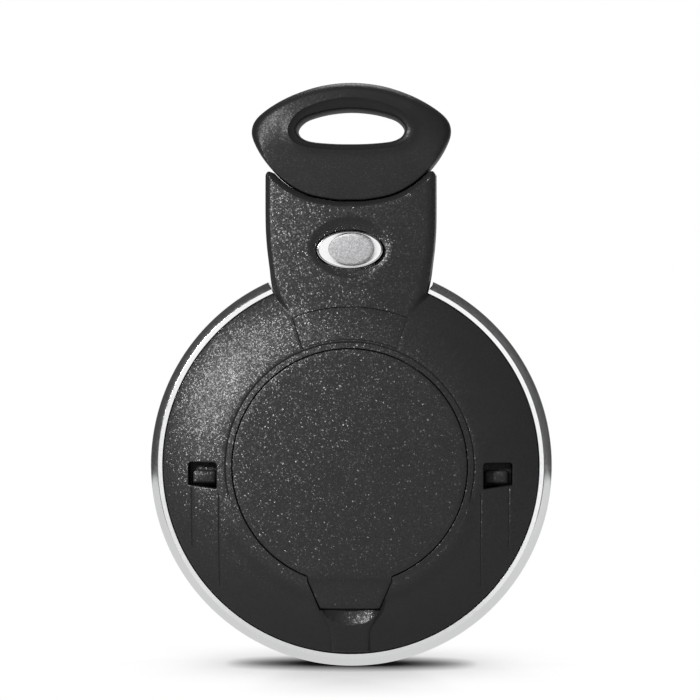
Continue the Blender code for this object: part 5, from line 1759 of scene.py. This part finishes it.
@dataclass(frozen=True)
class BatteryLid:
    """The round lid with its pry tab and the rib that centres it."""

    casing: Casing
    radius: float = 14.41
    face_depth: float = 7.0
    crown: float = 0.34
    floor: float = 5.75
    edge: float = 0.09
    tab_half: float = 5.18
    tab_end_half: float = 3.67
    tab_shoulder: float = 10.9
    tab_end: float = 7.5
    tab_fall: float = 0.4
    shoulder_fall: float = 0.12
    shoulder_blend: tuple[float, float] = (-0.1, 0.5)
    tab_thickness: float = 0.9
    rib_outer: float = 12.9
    rib_inner: float = 12.3
    rib_depth: float = 4.65

    def outline(self) -> np.ndarray:
        """The lid's outline.

        Returns:
            The points, counter-clockwise.
        """
        casing = self.casing
        corner = casing.centre - sqrt(self.radius ** 2 - self.tab_half ** 2)
        start = np.arctan2(corner - casing.centre, self.tab_half)
        disc = casing.sweep(self.radius, start, 2 * (pi / 2 - start))
        side = [(self.tab_end_half, self.tab_end), (self.tab_half, self.tab_shoulder),
                (self.tab_half, self.tab_shoulder + 1)]
        radii = (0.2, 0.15, 0.01)
        tab = rounded([(-x, y) for x, y in side[::-1]] + side, radii[::-1] + radii)
        tab = tab[tab[:, 1] < corner - ON_LINE]
        return densified(np.vstack((disc, tab)), casing.line_step)

    def face(self, points: np.ndarray) -> np.ndarray:
        """The height of the lid's face.

        Args:
            points: Where the heights are wanted.

        Returns:
            The heights.
        """
        below, above = (self.tab_shoulder + gap for gap in self.shoulder_blend)
        fall = np.interp(points[:, 1], (self.tab_end, self.tab_shoulder),
                         (self.tab_fall, self.shoulder_fall))
        fall = np.where(points[:, 1] < above, fall * (1 - eased(points[:, 1], below, above)), 0)
        inner = reach(points, self.outline())
        crown = self.crown * (self.casing.radius(points) / self.radius) ** 2
        return self.face_depth - crown - fall - rolled(inner, self.edge, self.edge)

    def underside(self, points: np.ndarray) -> np.ndarray:
        """The lid's inner side, with the locating rib.

        Args:
            points: Where the heights are wanted.

        Returns:
            The heights.
        """
        radius = self.casing.radius(points)
        low = np.full(len(points), self.floor)
        rib = (radius <= self.rib_outer + ON_LINE) & (radius >= self.rib_inner - ON_LINE)
        low = np.where(rib, self.rib_depth, low)
        thin = self.face(points) - self.tab_thickness
        return np.where(points[:, 1] < self.tab_shoulder, thin, low)

    def build(self, finishes: Finishes) -> None:
        """Makes the lid.

        Args:
            finishes: The finishes of the object.
        """
        outline, wall = self.outline(), self.casing.wall_step
        loops = [inset(outline, gap) for gap in (0.02, 0.05, self.edge)]
        loops += [self.casing.ring(radius) for radius in (
            self.rib_outer, self.rib_outer + wall, self.rib_inner, self.rib_inner - wall)]
        half = self.tab_half - 0.1
        lines = [densified([(-half, self.tab_shoulder + up), (half, self.tab_shoulder + up)],
                           self.casing.line_step, False) for up in (0, -wall, 0.25, 0.5)]
        relief = Relief(outline, self.face, self.underside, [], loops, lines, 0.7)
        piece = relief.build("battery_lid", Face.REAR)
        finish(piece, finishes.case, Body.LID, Slot.CASE, "battery_cover")


@dataclass(frozen=True)
class ReleaseButton:
    """The polished oval rim and the satin plate in it."""

    height: float = 51.65
    half_width: float = 4.07
    half_height: float = 2.32
    face: float = 5.85
    thickness: float = 0.8
    opening_half: tuple[float, float] = (2.85, 1.92)
    opening_shift: tuple[float, float] = (0.22, 0.07)
    plate_half_width: float = 3.15
    plate_half_height: float = 2.05
    rim_edge: float = 0.15
    plate_sink: float = 0.11
    plate_thickness: float = 0.3

    def oval(self, side: float, top: float, depth: float) -> np.ndarray:
        """An ellipse about the button's middle at one depth."""
        return at_depth(ellipse(side, top, (0, self.height), 120), depth)

    def opening(self, share: float, depth: float) -> np.ndarray:
        """An ellipse between the rim's edge and its opening, which lies to one side.

        Args:
            share: How far it is on that way.
            depth: Its depth.

        Returns:
            The points.
        """
        (wide, tall), (x, y) = self.opening_half, self.opening_shift
        edge_x, edge_y = self.half_width - self.rim_edge, self.half_height - self.rim_edge
        side, top = edge_x + (wide - edge_x) * share, edge_y + (tall - edge_y) * share
        return at_depth(ellipse(side, top, (x * share, self.height + y * share), 120), depth)

    def build(self, finishes: Finishes) -> None:
        """Makes the rim and the plate.

        Args:
            finishes: The finishes of the object.
        """
        low = self.face - self.thickness
        wide, tall = self.half_width, self.half_height
        sections = [self.oval(0.4, 0.3, low), self.oval(wide, tall, low)]
        sections += [self.oval(wide - gap, tall - gap, self.face - fall)
                     for gap, fall in ((0.0, 0.22), (0.02, 0.13), (0.07, 0.05),
                                       (self.rim_edge, 0.01))]
        for share in (0.1, 0.3, 0.5, 0.7, 0.85, 1.0):
            sections.append(self.opening(share, self.face - 0.03 * share ** 2))
        sections += [self.opening(1.01, self.face - 0.05), self.opening(1.01, low + 0.25),
                     self.oval(0.4, 0.3, low + 0.25)]
        rim = loft("release_rim", sections, Face.REAR)
        finish(rim, finishes.chrome, Body.RELEASE, Slot.BRIGHT, "release_bezel")
        wide, tall, top = self.plate_half_width, self.plate_half_height, self.face - self.plate_sink
        plate = loft("release_plate", [
            self.oval(wide, tall, top - self.plate_thickness + 0.1), self.oval(wide, tall, top),
            self.oval(wide - 0.04, tall - 0.04, top + 0.02),
            self.oval(wide * 0.8, tall * 0.8, top + 0.03),
            self.oval(wide * 0.4, tall * 0.4, top + 0.04)], Face.REAR)
        finish(plate, finishes.satin, Body.RELEASE, Slot.PLATE, "release_inlay")


@dataclass(frozen=True)
class FrontControls:
    """The three front buttons and the blank badge."""

    half: FrontHalf
    foot: float = 4.5
    flange_top: float = 4.9
    flange: float = 0.5
    top: float = 6.85
    edge: float = 0.3
    edge_steps: int = 5
    crown: float = 0.12
    badge_radius: float = 7.6
    badge_low: float = 5.9
    badge_top: float = 7.0

    def button(self, place: ButtonPlace) -> Piece:
        """One button with its flange and a slightly crowned top.

        Args:
            place: Which button it is.

        Returns:
            The button.
        """
        loop = self.half.sector(place.value)
        wide = inset(loop, -self.flange)
        sections = [at_depth(wide, self.foot), at_depth(wide, self.flange_top),
                    at_depth(loop, self.flange_top)]
        for i in range(self.edge_steps + 1):
            angle = pi / 2 * i / self.edge_steps
            sections.append(at_depth(inset(loop, self.edge * (1 - cos(angle))),
                                     self.top - self.crown - self.edge * (1 - sin(angle))))
        for share, drop in ((0.72, 0.6), (0.55, 0.3), (0.35, 0.08), (0.12, 0.0)):
            inner = self.half.sector(place.value, share=share)
            sections.append(at_depth(inner, self.top - self.crown * drop))
        return loft(f"button_cap_{place.name.lower()}", sections, Face.FRONT)

    def build(self, finishes: Finishes) -> None:
        """Makes the buttons and the badge.

        Args:
            finishes: The finishes of the object.
        """
        bodies = {ButtonPlace.UNLOCK: Body.UNLOCK, ButtonPlace.LOCK: Body.LOCK,
                  ButtonPlace.BOOT: Body.BOOT}
        for place, body in bodies.items():
            finish(self.button(place), finishes.button, body, Slot.RUBBER,
                   f"button_{place.name.lower()}")
        radius, top = self.badge_radius, self.badge_top
        profile = [(0, self.badge_low), (radius, self.badge_low)]
        profile += [(radius - inward, top - fall) for inward, fall in (
            (0, 0.3), (0.03, 0.15), (0.12, 0.04), (0.3, 0), (0.55, 0.03), (0.72, 0.12), (0.8, 0.2),
            (1.1, 0.18))]
        profile += [(radius * 0.5, top - 0.08), (0, top - 0.04)]
        badge = turned("blank_badge", profile, Face.FRONT, (0, self.half.casing.centre))
        finish(badge, finishes.badge, Body.SHELL, Slot.BRIGHT, "centre_badge")


@dataclass(frozen=True)
class InnerParts:
    """The CAD nodes inside, which keep their meshes and get finer edges and finishes."""

    nodes: dict[str, Piece]

    def build(self, finishes: Finishes) -> None:
        """Gives every inner node its finish and soft edges of a width.

        Args:
            finishes: The finishes of the object.
        """
        rows = [
            ("inner_carrier", finishes.inner, 0.12), ("release_button", finishes.inner, 0.12),
            ("latch_bar", finishes.steel, 0.1), ("release_spring", finishes.steel, 0.0),
            ("key_blade", finishes.steel, 0.12), ("battery_seal", finishes.rubber, 0.06),
            ("button_pad", finishes.rubber, 0.08), ("circuit_board", finishes.board, 0.05),
            ("switch_unlock", finishes.steel, 0.08), ("switch_lock", finishes.steel, 0.08),
            ("switch_boot", finishes.steel, 0.08), ("coin_cell", finishes.steel, 0.2),
            ("cell_contact_face", finishes.brass, 0.05),
            ("cell_contact_side", finishes.brass, 0.05),
            ("antenna_coil", finishes.coil, 0.3), ("transponder", finishes.chip, 0.2),
        ]
        for name, material, edge in rows:
            for slot in self.nodes[name].material_slots:
                slot.material = material
            soften(self.nodes[name], edge)
            LOG.info("%s keeps its CAD mesh", name)


# Studio

@dataclass(frozen=True)
class Studio:
    """The floor, the lamps, the white surround and the camera.

    Attributes:
        distance: From the camera to its target, in metres.
        azimuth: How far the camera stands to the right, in degrees.
        target: The point that it looks at.
        lens: Its focal length on the sensor.
        sensor: The sensor's width in millimetres.
        floor_radius: The floor's radius, in metres.
        reflection: From where to where the floor's faint reflection fades away, in metres, and
            its share of the floor's light before and after.
        painted_shadows: The painted shadow round the object, made from ambient occlusion: how far
            it reaches, in metres, and how free a place is and what shade it has where closed in and
            open.
        ground: How light the surround is below the horizon, where metal mirrors it.
        dim: How light the surround is at the sides, where metal mirrors it.
        camera_side: Where along the depth the light round the camera ends and the dim sides start.
        backs: Where along the depth the dim sides end, below the horizon and above it.
        horizon: The heights of a direction between which the ground changes into the rest.
        softness: The strength of the soft light.
        softness_turn: How far to the right the soft light is turned, in degrees.
        softness_fade: Where the soft light has faded, and what is left of it there.
        lamps: Each lamp's name, place and width in metres, and power in watts.
    """

    distance: float = 0.300
    azimuth: float = 2.05
    target: tuple[float, float, float] = (-0.00018, 0.0, 0.0393)
    lens: float = 123.0
    sensor: float = 36.0
    floor_radius: float = 0.09
    reflection: tuple[float, float, float, float] = (0.014, 0.03, 0.3, 0.0)
    painted_shadows: tuple[tuple[float, tuple[float, float], tuple[float, float]], ...] = (
        (0.0046, (0.11, 0.01), (1.0, 1.0)), (0.028, (0.35, 0.5), (0.8, 1.0)))
    ground: float = 0.66
    dim: float = 0.06
    camera_side: tuple[float, float] = (0.0068, 0.01)
    backs: tuple[tuple[float, float], tuple[float, float]] = ((0.2, 0.24), (0.9, 0.96))
    horizon: tuple[float, float] = (-0.115, -0.09)
    softness: float = 3.5
    softness_turn: float = 55.0
    softness_fade: tuple[float, float] = (0.5, 0.15)
    lamps: tuple[tuple[str, tuple[float, float, float], float, float], ...] = (
        ("key_lamp", (-0.264, -0.349, 0.184), 0.06, 5.4),
        ("top_lamp", (0.0, 0.25, 0.45), 0.2, 1.5))

    @staticmethod
    def aim(thing: Piece, place: Vector, way: Vector) -> None:
        """Puts a camera or a lamp at a place and turns it to look along a way."""
        thing.location = place
        thing.rotation_euler = way.to_track_quat("-Z", "Y").to_euler()

    def camera(self) -> None:
        """Adds the camera."""
        data = bpy.data.cameras.new("camera")
        data.lens, data.sensor_width, data.clip_start = self.lens, self.sensor, 0.01
        camera = placed("camera", data)
        turn = radians(self.azimuth)
        away = Vector((sin(turn), -cos(turn), 0)) * self.distance
        self.aim(camera, Vector(self.target) + away, -away)
        bpy.context.scene.camera = camera

    def lamp(self, name: str, place: Sequence[float], width: float, power: float) -> None:
        """Adds a round lamp that faces the object.

        Args:
            name: Its name.
            place: Where it is, in metres.
            width: Its width in metres.
            power: Its power in watts.
        """
        data = bpy.data.lights.new(name, "AREA")
        data.shape, data.size, data.energy = "DISK", width, power
        self.aim(placed(name, data), Vector(place), Vector((0, 0, 0.03)) - Vector(place))

    def surround(self) -> None:
        """Makes the world: white behind the object and round the camera, dim elsewhere."""
        world = bpy.data.worlds.new("surround")
        bpy.context.scene.world = world
        world.use_nodes = True
        world.node_tree.nodes.clear()
        nodes = Nodes(world.node_tree)
        way = nodes.add("TexCoord").outputs["Generated"]
        split = nodes.add("SeparateXYZ", Vector=way)
        depth = nodes.spread(split.outputs["Y"], -1, 1)

        def light(value: Socket, *stops: tuple[float, float], strength: float = 1.0) -> Socket:
            """A light whose strength follows a value from stop to stop."""
            shade = nodes.ramp(value, *stops)
            return nodes.add("Background", Color=shade, Strength=strength).outputs[0]

        def sides(level: float, back: tuple[float, float]) -> Socket:
            """A light that has a level at the front and the back, and is dim between them."""
            levels = (level, level, self.dim, self.dim, level)
            return light(depth, *zip((0.0, *self.camera_side, *back), levels))

        height = nodes.spread(split.outputs["Z"], *self.horizon)
        mirror = nodes.blend(height, *map(sides, (self.ground, 1.0), self.backs))
        turn = radians(self.softness_turn)
        aside = nodes.vector("DOT_PRODUCT", way, (-sin(turn), cos(turn), 0), output="Value")
        soft = light(nodes.spread(aside, -1, 1), (0.0, 1.0), self.softness_fade,
                     strength=self.softness)
        white = nodes.add("Background", Color=(1, 1, 1, 1)).outputs[0]
        path = nodes.add("LightPath").outputs
        seen = nodes.feed(nodes.add("Math", operation="MAXIMUM"), path["Is Camera Ray"],
                          path["Is Transmission Ray"]).outputs[0]
        lit = nodes.blend(path["Is Glossy Ray"], soft, mirror)
        nodes.add("OutputWorld", Surface=nodes.blend(seen, lit, white))

    def floor(self) -> None:
        """Adds the white floor, with a painted shadow from ambient occlusion and a faint
        reflection.
        """
        rim = ellipse(self.floor_radius, self.floor_radius)
        mesh = bpy.data.meshes.new("floor")
        mesh.from_pydata([(x, y, 0) for x, y in rim.tolist()], [], [tuple(range(len(rim)))])
        shader = Shader("white_floor")
        shader.set(Base_Color=(0.4, 0.4, 0.4, 1), Roughness=0.9, Specular_IOR_Level=0.0)
        # Painted shadow: ambient occlusion round the object darkens the floor's white glow and the
        # tint of its reflection; the lamps cast no shadow here.
        shade = shader.vector("MULTIPLY", *(self.painted_shadow(shader, *row) for row in self.painted_shadows))
        painted_shadow_glow = shader.add("Emission", Color=shade).outputs[0]
        mirror = shader.add("BsdfGlossy", Color=shade, Roughness=0.16).outputs[0]
        away = shader.vector("LENGTH", shader.place(), output="Value")
        seen = shader.blend(shader.spread(away, *self.reflection), painted_shadow_glow, mirror)
        path = shader.add("LightPath").outputs
        level = shader.add("Emission", Color=(*(self.ground,) * 3, 1)).outputs[0]
        other = shader.blend(path["Is Glossy Ray"], shader.main.outputs[0], level)
        shader.fill(shader.tree.nodes["Material Output"],
                    Surface=shader.blend(path["Is Camera Ray"], other, seen))
        mesh.materials.append(shader.material)
        floor = placed("floor", mesh)

    @staticmethod
    def painted_shadow(shader: Shader, distance: float, closed: tuple[float, float],
                  free: tuple[float, float]) -> Socket:
        """The floor's painted shadow: a shade by how closed in it is, from ambient occlusion.

        Args:
            shader: The floor's material.
            distance: How near something has to be, in metres.
            closed: How free a closed-in place still is, and its shade.
            free: How free an open place is, and its shade.

        Returns:
            The painted shade.
        """
        # The painted shadow's shade comes from ambient occlusion, not from the lamps.
        node = shader.add("AmbientOcclusion", Distance=distance, samples=16)
        return shader.ramp(node.outputs["AO"], closed, free)

    def build(self) -> None:
        """Sets up the studio."""
        self.camera()
        self.surround()
        self.floor()
        for row in self.lamps:
            self.lamp(*row)
        bpy.context.scene.view_settings.view_transform = "Standard"


def main() -> None:
    """Builds every sub-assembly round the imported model."""
    logging.basicConfig(level=logging.INFO, format="%(message)s")
    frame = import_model()
    finishes, key_head = Finishes(), KeyHead()
    casing = Casing(key_head)
    front = FrontHalf(casing)
    for piece in (RearHalf(casing), front, RimRing(casing), BatteryLid(casing), key_head,
                  ReleaseButton(), FrontControls(front), InnerParts(frame["nodes"])):
        piece.build(finishes)
    Studio().build()


if __name__ == "__main__":
    main()
